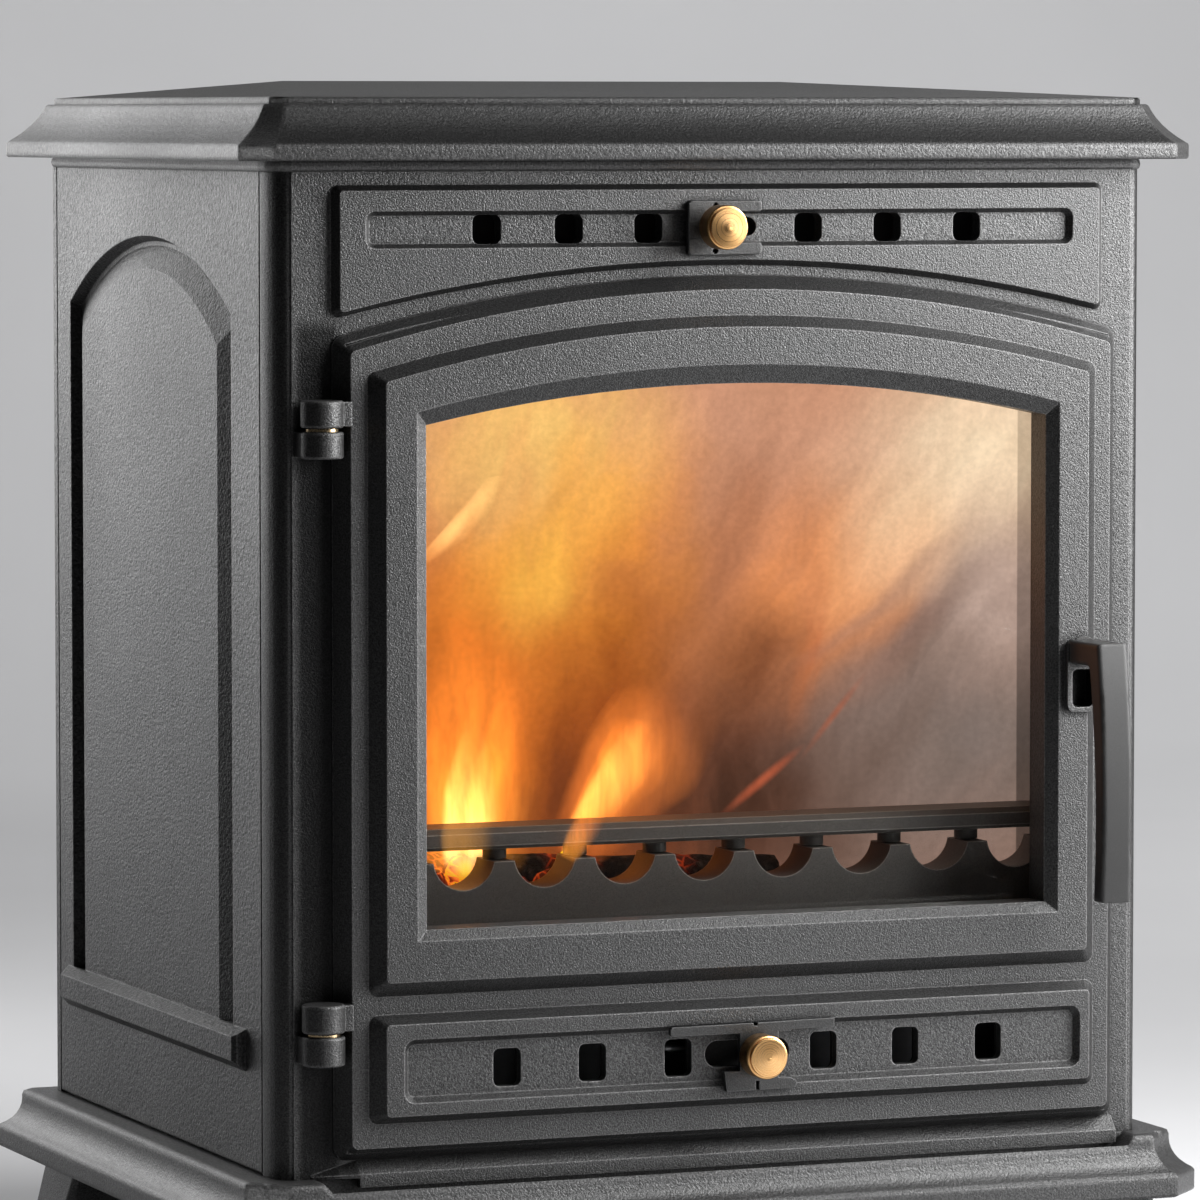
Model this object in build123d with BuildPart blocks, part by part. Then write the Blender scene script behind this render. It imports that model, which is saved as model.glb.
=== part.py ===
from build123d import *
import os

os.makedirs("parts", exist_ok=True)

# ------------------------------------------------------------------
# Cast iron wood stove, millimetres, +Z up, front towards -Y.
# Local heights are counted from the top of the body, local depths from
# the front plate's face; Y() and Z() turn them into the row frame,
# whose origin is the bottom centre of the whole stove.
# ------------------------------------------------------------------
BODY_W = 500.0          # outside width of the body
BODY_D = 373.0          # outside depth of the body
BODY_H = 523.0          # body height, neck to plinth
PLINTH_H = 34.0
LEG_H = 75.0
Y_SHIFT = -178.5        # front face of the body in the row frame
WALL = 7.0              # casting thickness
RETURN_D = 21.5         # depth of the front casting's wrapped corners
BACK_T = 6.5
CROWN_RISE = 9.5        # rise of the top's middle over its riser
# mouldings, as (height, overhang past the body, leg of the canted corner)
PLINTH_RINGS = ((-523.0, 14.0, 17.5), (-523.9, 16.2, 18.3), (-526.2, 17.0, 18.5), (-528.4, 17.0, 18.5),
                (-531.4, 17.3, 18.5), (-534.4, 18.2, 18.6), (-537.2, 19.6, 18.8), (-539.8, 21.6, 19.2),
                (-542.0, 24.2, 19.6), (-543.6, 26.8, 20.0), (-545.0, 28.0, 20.0), (-555.0, 28.0, 20.0),
                (-556.3, 27.3, 19.7), (-557.0, 25.6, 19.0))
TOP_RINGS = ((5.5, 20.6, 14.2), (6.2, 21.3, 14.4), (7.2, 21.5, 14.5), (12.8, 21.5, 14.5), (13.9, 21.1, 14.4),
             (14.5, 20.2, 14.2), (17.4, 16.4, 13.2), (20.6, 12.8, 12.1), (24.0, 9.6, 11.0), (27.6, 6.9, 10.1),
             (31.2, 4.8, 9.4), (33.4, 3.8, 9.1), (34.4, 3.2, 9.0), (35.0, 2.2, 8.8))

DOOR_CX = 5.5           # the door is a little right of the body's centre
DOOR_HALF = 224.5       # half width at the door's back edge
DOOR_FACE = 217.5       # half width of the outer ring's face
FRAME_BASE = 208.5
FRAME_FACE = 201.0
WIN_OUT = 184.0         # window chamfer, outer half width
WIN_HALF = 177.5        # window opening, half width
RIM_HALF = 196.0        # inner rim that carries the glass
GLASS_HALF = 187.0
FIRE_HALF = 207.0       # half width of the openings in the front plate
Y_DOOR_BACK = -0.6
Y_RING = -11.0
Y_FACE = -19.0
Y_RIM = 3.5
GLASS_T = 4.0
ROPE_HALF = 214.0

HINGE_X = -228.3
HINGE_Y = -12.0
KNUCKLE_R = 11.25
PIN_R = 4.0
RUN = 0.05              # radial running clearance

SPINDLE_X = 202.0
SPINDLE_Z = -258.2
SPINDLE_R = 5.0

UP_HOLES = (-133.0, -87.0, -42.0, 49.5, 95.5, 142.0)
UP_Z = -30.3
UP_KNOB_X = -8.5
UP_KNOB_Z = -29.6
LO_HOLES = (-127.5, -79.4, -30.6, 53.1, 101.0, 149.8)
LO_Z = -467.5
LO_KNOB_X = 11.0
LO_KNOB_Z = -466.6
KNOB_R = 11.7

FLUE_Z = -130.0
FLUE_BORE = 63.0        # takes a 125 mm pipe
FLUE_LEN = 50.0
FLUE_BOLT_R = 78.0

ROD_R = 4.0
RODS = ((-236.0, 50.0), (236.0, 50.0), (-236.0, 357.0), (236.0, 357.0))
LEG_BOLTS = ((-222.0, 22.0), (222.0, 22.0), (-222.0, 346.0), (222.0, 346.0))


def Y(y):
    return y + Y_SHIFT


def Z(z):
    return z + BODY_H + PLINTH_H + LEG_H


def front(y):
    """plane facing the viewer; local x is X, local y is Z"""
    return Plane(origin=(0, Y(y), 0), x_dir=(1, 0, 0), z_dir=(0, -1, 0))


def side(x):
    """plane facing +X; local x is Y, local y is Z"""
    return Plane(origin=(x, 0, 0), x_dir=(0, 1, 0), z_dir=(1, 0, 0))


def level(z):
    return Plane.XY.offset(Z(z))


def octagon(o, legs):
    """body rectangle offset outwards by o, front corners canted by legs, rear corners by a fifth of it"""
    x, y0, y1, k, r = BODY_W / 2 + o, Y(-o), Y(BODY_D + o), legs, 0.2 * legs
    return [(-x + k, y0), (x - k, y0), (x, y0 + k), (x, y1 - r),
            (x - r, y1), (-x + r, y1), (-x, y1 - r), (-x, y0 + k)]


def rounded_body(o):
    """body outline offset outwards by o, with the front corners on the wrapped posts"""
    right = [(241 + (9 + o) * c, 21 - (21 + o) * t)
             for c, t in ((0.0, 1.0), (0.383, 0.924), (0.707, 0.707), (0.924, 0.383), (1.0, 0.0))]
    left = [(-x, y) for x, y in reversed(right)]
    rear = BODY_D + o
    k = 3.0
    x = BODY_W / 2 + o
    loop = right + [(x, rear - k), (x - k, rear), (-x + k, rear), (-x, rear - k)] + left
    return [(a, Y(b)) for a, b in loop]


def rect_pts(x0, x1, z0, z1):
    return [(x0, Z(z0)), (x1, Z(z0)), (x1, Z(z1)), (x0, Z(z1))]


def arched(half, apex, ends, bottom, cx=DOOR_CX):
    """closed outline with a shallow arched top, drawn into the open line"""
    a, b = (cx - half, Z(bottom)), (cx - half, Z(ends))
    d, e = (cx + half, Z(ends)), (cx + half, Z(bottom))
    Line(a, b)
    ThreePointArc(b, (cx, Z(apex)), d)
    Line(d, e)
    Line(e, a)


def yz(pts):
    return [(Y(y), Z(z)) for y, z in pts]


# ------------------------------------------------------------------
# base plinth
# ------------------------------------------------------------------
with BuildPart() as trough:
    with BuildSketch(front(0.0)):
        with BuildLine():
            Polyline((-230, Z(-522.9)), (-221, Z(-533)), (229, Z(-533)), (238, Z(-522.9)), close=True)
        make_face()
    extrude(amount=20)
    with BuildSketch(side(-240)):
        with BuildLine():
            Polyline(*yz([(0, -522.9), (0, -533), (-9, -533), (-19.5, -527), (-19.5, -522.9)]), close=True)
        make_face()
    extrude(amount=480, mode=Mode.INTERSECT)

with BuildPart() as base_plinth:
    for (za, oa, ka), (zb, ob, kb) in zip(PLINTH_RINGS, PLINTH_RINGS[1:]):
        with BuildSketch(level(za)):
            with BuildLine():
                Polyline(*octagon(oa, ka), close=True)
            make_face()
        with BuildSketch(level(zb)):
            with BuildLine():
                Polyline(*octagon(ob, kb), close=True)
            make_face()
        loft(ruled=True)
    # hollow underneath: a rim, with ribs and pads left standing
    with BuildSketch(level(-557.1)):
        with Locations((0, Y(BODY_D / 2))):
            Rectangle(BODY_W - 12, BODY_D - 12)
    extrude(amount=24.1, mode=Mode.SUBTRACT)
    with BuildSketch(level(-523)):
        with Locations((0, Y(BODY_D / 2))):
            Rectangle(BODY_W + 16, BODY_D + 16)
    extrude(amount=-10)
    with BuildSketch(level(-523)):
        with Locations((0, Y(0))):
            Rectangle(BODY_W + 16, 16)
    extrude(amount=-22)
    with BuildSketch(level(-532.9)):
        with Locations((-222, Y(22)), (222, Y(22)), (-216, Y(346)), (216, Y(346))):
            Rectangle(22, 34)
    extrude(amount=-24.1)
    with BuildSketch(level(-533)):
        with Locations((-130, Y(BODY_D / 2)), (0, Y(BODY_D / 2)), (130, Y(BODY_D / 2))):
            Rectangle(7, BODY_D + 2)
    extrude(amount=-12)
    add(trough.part, mode=Mode.SUBTRACT)
    with BuildSketch(level(-522)):
        with Locations(*[(x, Y(y)) for x, y in LEG_BOLTS]):
            Circle(5.3)
    extrude(amount=-40, mode=Mode.SUBTRACT)
    with BuildSketch(level(-522)):
        with Locations(*[(x, Y(y)) for x, y in RODS]):
            Circle(ROD_R + 0.3)
    extrude(amount=-20, mode=Mode.SUBTRACT)
base_plinth.part.label = "base_plinth"

# ------------------------------------------------------------------
# legs: square tapered feet, outer faces nearly upright
# ------------------------------------------------------------------
with BuildPart() as leg_front_left:
    with BuildSketch(level(-557)):
        with Locations((-225, Y(25))):
            RectangleRounded(60, 60, 5)
    with BuildSketch(level(-626)):
        with Locations((-245, Y(5))):
            RectangleRounded(45, 45, 4)
    loft(ruled=True)
    with BuildSketch(level(-626)):
        with Locations((-245, Y(5))):
            RectangleRounded(48, 48, 5)
    extrude(amount=-6)
    with BuildSketch(level(-556)):
        with Locations((-222, Y(22))):
            Circle(5.0)
    extrude(amount=-27, mode=Mode.SUBTRACT)
with BuildPart() as leg_front_right:
    add(leg_front_left.part)
    mirror(about=Plane.YZ, mode=Mode.REPLACE)
with BuildPart() as leg_rear_left:
    with BuildSketch(level(-557)):
        with Locations((-225, Y(348))):
            RectangleRounded(60, 60, 5)
    with BuildSketch(level(-626)):
        with Locations((-245, Y(368))):
            RectangleRounded(45, 45, 4)
    loft(ruled=True)
    with BuildSketch(level(-626)):
        with Locations((-245, Y(368))):
            RectangleRounded(48, 48, 5)
    extrude(amount=-6)
    with BuildSketch(level(-556)):
        with Locations((-222, Y(346))):
            Circle(5.0)
    extrude(amount=-27, mode=Mode.SUBTRACT)
with BuildPart() as leg_rear_right:
    add(leg_rear_left.part)
    mirror(about=Plane.YZ, mode=Mode.REPLACE)
leg_front_left.part.label = "leg_front_left"
leg_front_right.part.label = "leg_front_right"
leg_rear_left.part.label = "leg_rear_left"
leg_rear_right.part.label = "leg_rear_right"

with BuildPart() as leg_bolts:
    with BuildSketch(level(-523)):
        with Locations(*[(x, Y(y)) for x, y in LEG_BOLTS]):
            RegularPolygon(9.2, 6)
    extrude(amount=6.4)
    with BuildSketch(level(-523)):
        with Locations(*[(x, Y(y)) for x, y in LEG_BOLTS]):
            Circle(5.0)
    extrude(amount=-56)
leg_bolts.part.label = "leg_bolts"

# ------------------------------------------------------------------
# front casting
# ------------------------------------------------------------------
with BuildPart() as fixed_knuckles:
    for z0, z1 in ((-147.5, -133.5), (-462.0, -446.5)):
        with BuildSketch(level(z0)):
            with Locations((HINGE_X, Y(HINGE_Y))):
                Circle(KNUCKLE_R)
        extrude(amount=z1 - z0)
    fillet(fixed_knuckles.edges().filter_by(GeomType.CIRCLE), 1.4)
with BuildPart() as door_knuckles:
    for z0, z1 in ((-131.6, -117.5), (-445.0, -430.0)):
        with BuildSketch(level(z0)):
            with Locations((HINGE_X, Y(HINGE_Y))):
                Circle(KNUCKLE_R)
        extrude(amount=z1 - z0)
    fillet(door_knuckles.edges().filter_by(GeomType.CIRCLE), 1.4)

with BuildPart() as front_frame:
    with BuildSketch(level(0)):
        with BuildLine():
            Line((-250, Y(RETURN_D)), (-250, Y(21)))
            EllipticalCenterArc((-241, Y(21)), 9, 20.2, start_angle=180, arc_size=90)
            Line((-241, Y(0.8)), (241, Y(0.8)))
            EllipticalCenterArc((241, Y(21)), 9, 20.2, start_angle=270, arc_size=90)
            Polyline((250, Y(21)), (250, Y(RETURN_D)), (243, Y(RETURN_D)), (243, Y(16)), (235, Y(WALL)),
                     (-235, Y(WALL)), (-243, Y(16)), (-243, Y(RETURN_D)), (-250, Y(RETURN_D)))
        make_face()
    extrude(amount=-BODY_H)
    with BuildSketch(front(1.2)):
        with Locations((0, Z(-BODY_H / 2))):
            Rectangle(481, BODY_H)
    extrude(amount=1.2)
    # raised vent panel with an arched lower edge
    with BuildSketch(front(0.0)):
        with BuildLine():
            Line((-219, Z(-76.5)), (-219, Z(-7)))
            Line((-219, Z(-7)), (222.5, Z(-7)))
            Line((222.5, Z(-7)), (222.5, Z(-76.5)))
            ThreePointArc((222.5, Z(-76.5)), (3, Z(-50)), (-219, Z(-76.5)))
        make_face()
        fillet(vertices(), 4)
    with BuildSketch(front(-5.0)):
        with BuildLine():
            Line((-215.5, Z(-72.8)), (-215.5, Z(-10)))
            Line((-215.5, Z(-10)), (219, Z(-10)))
            Line((219, Z(-10)), (219, Z(-72.8)))
            ThreePointArc((219, Z(-72.8)), (3, Z(-46.7)), (-215.5, Z(-72.8)))
        make_face()
        fillet(vertices(), 2)
    loft(ruled=True)
    # lower ledge that throws ash into the trough
    with BuildSketch(side(-206)):
        with BuildLine():
            Polyline(*yz([(1.5, -514), (0, -514), (-6, -521), (-6, -528), (-0.3, -528), (-0.3, -523), (1.5, -523)]), close=True)
        make_face()
    extrude(amount=437)
    with BuildSketch(side(-206)):
        with BuildLine():
            Polyline(*yz([(1.5, -514), (0, -514), (-6, -521), (-6, -523), (1.5, -523)]), close=True)
        make_face()
    with BuildSketch(side(-231)):
        with BuildLine():
            Polyline(*yz([(1.5, -520.9), (0, -520.9), (-0.4, -521.9), (-0.4, -523), (1.5, -523)]), close=True)
        make_face()
    loft(ruled=True)
    # fixed hinge knuckles and their webs
    for z0, z1 in ((-147.5, -133.5), (-462.0, -446.5)):
        with BuildSketch(level(z0 + 0.6)):
            with Locations((-230.7, Y(-3.6))):
                Rectangle(16.6, 9)
        extrude(amount=z1 - z0 - 1.2)
    add(fixed_knuckles.part)
    # slot recess, air holes and the stud's slot
    with BuildSketch(front(-5.01)):
        with Locations((1.05, Z(-30.25))):
            RectangleRounded(404.7, 19.5, 5)
    with BuildSketch(front(-1.0)):
        with Locations((1.05, Z(-30.25))):
            RectangleRounded(398.7, 14.5, 3)
    loft(ruled=True, mode=Mode.SUBTRACT)
    with BuildSketch(front(8)):
        with Locations(*[(x, Z(UP_Z)) for x in UP_HOLES]):
            RectangleRounded(16, 15.5, 4)
        with Locations((1.75, Z(UP_KNOB_Z))):
            RectangleRounded(35.5, 10, 4.9)
    extrude(amount=13.1, mode=Mode.SUBTRACT)
    # fire opening, ash opening, latch notch
    with BuildSketch(front(8)):
        with BuildLine():
            arched(FIRE_HALF, -76, -101, -412)
        make_face()
        with Locations((DOOR_CX, Z(-463))):
            Rectangle(2 * FIRE_HALF, 70)
        with Locations((209, Z(SPINDLE_Z))):
            Rectangle(10, 27)
    extrude(amount=9, mode=Mode.SUBTRACT)
    # pin bores and guide screw holes
    with BuildSketch(level(-470)):
        with Locations((HINGE_X, Y(HINGE_Y))):
            Circle(PIN_R)
    extrude(amount=345, mode=Mode.SUBTRACT)
    with BuildSketch(front(2.5)):
        with Locations(*[(x, Z(z)) for x in (-160, 12, 175) for z in (-14.0, -46.3)]):
            Circle(2)
    extrude(amount=-5, mode=Mode.SUBTRACT)
front_frame.part.label = "front_frame"

# ------------------------------------------------------------------
# side castings with a raised and fielded arch panel
# ------------------------------------------------------------------
with BuildPart() as sill_bar:
    with BuildSketch(front(47.6)):
        with BuildLine():
            Polyline((-249, Z(-449)), (-250, Z(-449.2)), (-257.5, Z(-453)), (-257.5, Z(-465.8)),
                     (-250, Z(-471.5)), (-249, Z(-471.5)), close=True)
        make_face()
    extrude(amount=-304)
    with BuildSketch(level(-440)):
        with BuildLine():
            Polyline((-248, Y(47)), (-254.5, Y(47)), (-258.5, Y(51)), (-258.5, Y(341)), (-249.5, Y(352)), (-248, Y(352)), close=True)
        make_face()
    extrude(amount=-40, mode=Mode.INTERSECT)
with BuildPart() as side_panel_left:
    with BuildSketch(side(-250)):
        with BuildLine():
            Polyline(*yz([(RETURN_D, -523), (366.5, -523), (366.5, 0), (RETURN_D, 0)]), close=True)
        make_face()
    extrude(amount=WALL)
    with BuildSketch(side(-243.5)):
        with BuildLine():
            Line((Y(62), Z(-455)), (Y(62), Z(-78)))
            ThreePointArc((Y(62), Z(-78)), (Y(205), Z(-30)), (Y(348), Z(-78)))
            Polyline((Y(348), Z(-78)), (Y(348), Z(-455)), (Y(62), Z(-455)))
        make_face()
    extrude(amount=5.5)
    # the sunk field
    with BuildSketch(side(-250.01)):
        with BuildLine():
            Line((Y(68), Z(-450)), (Y(68), Z(-75)))
            ThreePointArc((Y(68), Z(-75)), (Y(205), Z(-36)), (Y(342), Z(-75)))
            Polyline((Y(342), Z(-75)), (Y(342), Z(-450)), (Y(68), Z(-450)))
        make_face()
    with BuildSketch(side(-244)):
        with BuildLine():
            Line((Y(71), Z(-450)), (Y(71), Z(-77)))
            ThreePointArc((Y(71), Z(-77)), (Y(205), Z(-39)), (Y(339), Z(-77)))
            Polyline((Y(339), Z(-77)), (Y(339), Z(-450)), (Y(71), Z(-450)))
        make_face()
    loft(ruled=True, mode=Mode.SUBTRACT)
    # the raised panel in it, with sloping borders
    with BuildSketch(side(-243.9)):
        with BuildLine():
            Line((Y(73), Z(-450)), (Y(73), Z(-78.5)))
            ThreePointArc((Y(73), Z(-78.5)), (Y(205), Z(-41)), (Y(337), Z(-78.5)))
            Polyline((Y(337), Z(-78.5)), (Y(337), Z(-450)), (Y(73), Z(-450)))
        make_face()
    with BuildSketch(side(-249.2)):
        with BuildLine():
            Line((Y(93), Z(-450)), (Y(93), Z(-92)))
            ThreePointArc((Y(93), Z(-92)), (Y(205), Z(-54)), (Y(323), Z(-92)))
            Polyline((Y(323), Z(-92)), (Y(323), Z(-450)), (Y(93), Z(-450)))
        make_face()
    loft(ruled=True)
    # sill bar under the panel
    add(sill_bar.part)
    # shadow gaps where the casting meets its neighbours
    with BuildSketch(side(-250.1)):
        with Locations((Y(RETURN_D + 0.8), Z(-261.5)), (Y(365.8), Z(-261.5))):
            Rectangle(2.0, 523.2)
        with Locations((Y(194), Z(-522.3))):
            Rectangle(345, 1.6)
    extrude(amount=2.6, mode=Mode.SUBTRACT)
with BuildPart() as side_panel_right:
    add(side_panel_left.part)
    mirror(about=Plane.YZ, mode=Mode.REPLACE)
side_panel_left.part.label = "side_panel_left"
side_panel_right.part.label = "side_panel_right"

# ------------------------------------------------------------------
# back casting, smoke collar and its bolts
# ------------------------------------------------------------------
with BuildPart() as back_panel:
    with BuildSketch(front(BODY_D)):
        with Locations((0, Z(-BODY_H / 2))):
            Rectangle(BODY_W, BODY_H)
        with Locations((0, Z(FLUE_Z))):
            Circle(FLUE_BORE, mode=Mode.SUBTRACT)
            with PolarLocations(FLUE_BOLT_R, 4, 45):
                Circle(4.2, mode=Mode.SUBTRACT)
    extrude(amount=BACK_T)
    with BuildSketch(front(BODY_D + 2.5)):
        with Locations(*[(x, Z(-365)) for x in (-150, -50, 50, 150)]):
            Rectangle(8, 220)
        with Locations((0, Z(-495))):
            Rectangle(400, 8)
    extrude(amount=3.5)
back_panel.part.label = "back_panel"

with BuildPart() as flue_collar:
    with BuildSketch(front(BODY_D)):
        with Locations((0, Z(FLUE_Z))):
            Circle(88)
    extrude(amount=-7)
    with BuildSketch(front(BODY_D)):
        with Locations((0, Z(FLUE_Z))):
            Circle(68)
    extrude(amount=-FLUE_LEN)
    with BuildSketch(front(BODY_D)):
        with Locations((0, Z(FLUE_Z))):
            Circle(FLUE_BORE)
            with PolarLocations(FLUE_BOLT_R, 4, 45):
                Circle(4.2)
    extrude(amount=-FLUE_LEN - 1, mode=Mode.SUBTRACT)
    chamfer(flue_collar.edges().filter_by(GeomType.CIRCLE).group_by(Axis.Y)[-1], 1)
flue_collar.part.label = "flue_collar"

with BuildPart() as flue_collar_bolts:
    with BuildSketch(front(BODY_D + 7)):
        with Locations((0, Z(FLUE_Z))):
            with PolarLocations(FLUE_BOLT_R, 4, 45):
                RegularPolygon(7.5, 6)
    extrude(amount=-5.3)
    with BuildSketch(front(BODY_D + 7)):
        with Locations((0, Z(FLUE_Z))):
            with PolarLocations(FLUE_BOLT_R, 4, 45):
                Circle(4)
    extrude(amount=24)
    with BuildSketch(front(BODY_D - BACK_T)):
        with Locations((0, Z(FLUE_Z))):
            with PolarLocations(FLUE_BOLT_R, 4, 45):
                RegularPolygon(7.5, 6)
    extrude(amount=6.5)
flue_collar_bolts.part.label = "flue_collar_bolts"

# ------------------------------------------------------------------
# top plate: neck bead, fascia, cove, step and shallow hipped crown
# ------------------------------------------------------------------
with BuildPart() as crown:
    with BuildSketch(side(-248)):
        with BuildLine():
            Polyline(*yz([(2, 38.4), (268, 38.5 + CROWN_RISE), (371, 38.4)]), close=True)
        make_face()
    extrude(amount=496)
    with BuildSketch(front(0)):
        with BuildLine():
            Polyline((-248, Z(38.4)), (-150, Z(38.5 + CROWN_RISE)), (150, Z(38.5 + CROWN_RISE)), (248, Z(38.4)), close=True)
        make_face()
    extrude(amount=-BODY_D, mode=Mode.INTERSECT)

with BuildPart() as top_plate:
    for (za, oa), (zb, ob) in (((0.0, 0.4), (1.0, 1.1)), ((1.0, 1.1), (2.8, 1.5)), ((2.8, 1.5), (4.6, 1.1)), ((4.6, 1.1), (5.6, 0.2))):
        with BuildSketch(level(za)):
            with BuildLine():
                Polyline(*rounded_body(oa), close=True)
            make_face()
        with BuildSketch(level(zb)):
            with BuildLine():
                Polyline(*rounded_body(ob), close=True)
            make_face()
        loft(ruled=True)
    for (za, oa, ka), (zb, ob, kb) in zip(TOP_RINGS, TOP_RINGS[1:]):
        with BuildSketch(level(za)):
            with BuildLine():
                Polyline(*octagon(oa, ka), close=True)
            make_face()
        with BuildSketch(level(zb)):
            with BuildLine():
                Polyline(*octagon(ob, kb), close=True)
            make_face()
        loft(ruled=True)
    # raised centre plate behind a fine groove
    with BuildSketch(level(35)):
        with BuildLine():
            Polyline(*octagon(0.7, 8.2), close=True)
        make_face()
        with BuildLine():
            Polyline(*octagon(-0.5, 7.6), close=True)
        make_face(mode=Mode.SUBTRACT)
    extrude(amount=-1.4, mode=Mode.SUBTRACT)
    for (za, oa, ka), (zb, ob, kb) in (((34.0, -0.5, 7.6), (37.3, -0.5, 7.6)), ((37.3, -0.5, 7.6), (38.1, -0.9, 7.4)),
                                       ((38.1, -0.9, 7.4), (38.5, -1.8, 7.2))):
        with BuildSketch(level(za)):
            with BuildLine():
                Polyline(*octagon(oa, ka), close=True)
            make_face()
        with BuildSketch(level(zb)):
            with BuildLine():
                Polyline(*octagon(ob, kb), close=True)
            make_face()
        loft(ruled=True)
    add(crown.part)
    with BuildSketch(level(-0.1)):
        with Locations((0, Y(BODY_D / 2))):
            Rectangle(BODY_W - 32, BODY_D - 26)
        with Locations(*[(x, Y(y)) for x, y in RODS]):
            Circle(10, mode=Mode.SUBTRACT)
    extrude(amount=29, mode=Mode.SUBTRACT)
    with BuildSketch(level(-0.1)):
        with Locations(*[(x, Y(y)) for x, y in RODS]):
            Circle(ROD_R)
    extrude(amount=23, mode=Mode.SUBTRACT)
top_plate.part.label = "top_plate"

# ------------------------------------------------------------------
# tie rods that clamp top, panels and base together
# ------------------------------------------------------------------
with BuildPart() as tie_rods:
    with BuildSketch(level(-545)):
        with Locations(*[(x, Y(y)) for x, y in RODS]):
            Circle(ROD_R)
    extrude(amount=567)
tie_rods.part.label = "tie_rods"

with BuildPart() as tie_rod_nuts:
    with BuildSketch(level(-533)):
        with Locations(*[(x, Y(y)) for x, y in RODS]):
            Circle(8)
            Circle(ROD_R, mode=Mode.SUBTRACT)
    extrude(amount=-1.6)
    with BuildSketch(level(-534.6)):
        with Locations(*[(x, Y(y)) for x, y in RODS]):
            RegularPolygon(7.5, 6)
            Circle(ROD_R, mode=Mode.SUBTRACT)
    extrude(amount=-6.5)
tie_rod_nuts.part.label = "tie_rod_nuts"

# ------------------------------------------------------------------
# firebox lining
# ------------------------------------------------------------------
with BuildPart() as firebrick_left:
    with BuildSketch(side(-237)):
        with BuildLine():
            Polyline(*yz([(62, -412), (341, -412), (341, -212), (62, -100.4)]), close=True)
        make_face()
    extrude(amount=25)
with BuildPart() as firebrick_right:
    add(firebrick_left.part)
    mirror(about=Plane.YZ, mode=Mode.REPLACE)
with BuildPart() as firebrick_rear:
    with BuildSketch(front(366.5)):
        with BuildLine():
            Polyline(*rect_pts(-228, 228, -412, -214.5), close=True)
        make_face()
    extrude(amount=25.5)
firebrick_left.part.label = "firebrick_left"
firebrick_right.part.label = "firebrick_right"
firebrick_rear.part.label = "firebrick_rear"

with BuildPart() as baffle_plate:
    with BuildSketch(side(-236)):
        with BuildLine():
            Polyline(*yz([(80, -107.6), (346, -214.0), (348.6, -207.5), (82.6, -101.1)]), close=True)
        make_face()
    extrude(amount=472)
baffle_plate.part.label = "baffle_plate"

GRATE_Y = 200.0
with BuildPart() as firebox_floor:
    with BuildSketch(level(-422)):
        with Locations((0, Y(186.75))):
            Rectangle(475, 359.5)
        chamfer(vertices().group_by(Axis.Y)[0], 5)
        with Locations(*[(x, Y(y)) for x, y in RODS]):
            Rectangle(18, 20, mode=Mode.SUBTRACT)
    extrude(amount=10)
    with BuildSketch(level(-422.1)):
        with Locations((0, Y(GRATE_Y))):
            Rectangle(248, 178)
    extrude(amount=11, mode=Mode.SUBTRACT)
    with BuildSketch(level(-419)):
        with Locations((0, Y(GRATE_Y))):
            Rectangle(264, 194)
    extrude(amount=8, mode=Mode.SUBTRACT)
firebox_floor.part.label = "firebox_floor"

with BuildPart() as ash_side_plates:
    with BuildSketch(level(-523)):
        with Locations((-228.5, Y(195)), (228.5, Y(195))):
            Rectangle(7, 250)
    extrude(amount=101)
ash_side_plates.part.label = "ash_side_plates"

with BuildPart() as grate:
    with BuildSketch(level(-419)):
        with Locations((0, Y(GRATE_Y))):
            Rectangle(262, 192)
            with GridLocations(20, 1, 12, 1):
                SlotOverall(150, 9, rotation=90, mode=Mode.SUBTRACT)
    extrude(amount=7)
grate.part.label = "grate"

with BuildPart() as ash_floor:
    with BuildSketch(level(-502)):
        with Locations((0, Y(170))):
            Rectangle(448, 320)
    extrude(amount=3)
    with BuildSketch(level(-523)):
        with Locations((0, Y(11.5)), (0, Y(328.5))):
            Rectangle(400, 3)
    extrude(amount=21.5)
ash_floor.part.label = "ash_floor"

with BuildPart() as ash_pan:
    with BuildSketch(level(-499)):
        with Locations((5, Y(171))):
            RectangleRounded(380, 294, 8)
    extrude(amount=57)
    with BuildSketch(level(-497.5)):
        with Locations((5, Y(171))):
            RectangleRounded(377, 291, 6.5)
    extrude(amount=60, mode=Mode.SUBTRACT)
ash_pan.part.label = "ash_pan"

with BuildPart() as ash_pan_handle:
    with BuildLine(level(-466)) as pan_line:
        FilletPolyline((-30, Y(24.0)), (-30, Y(13)), (40, Y(13)), (40, Y(24.0)), radius=7)
    with BuildSketch(Plane(origin=(-30, Y(24.0), Z(-466)), x_dir=(1, 0, 0), z_dir=(0, -1, 0))):
        Circle(3)
    sweep(path=pan_line.wires()[0])
ash_pan_handle.part.label = "ash_pan_handle"

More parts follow.
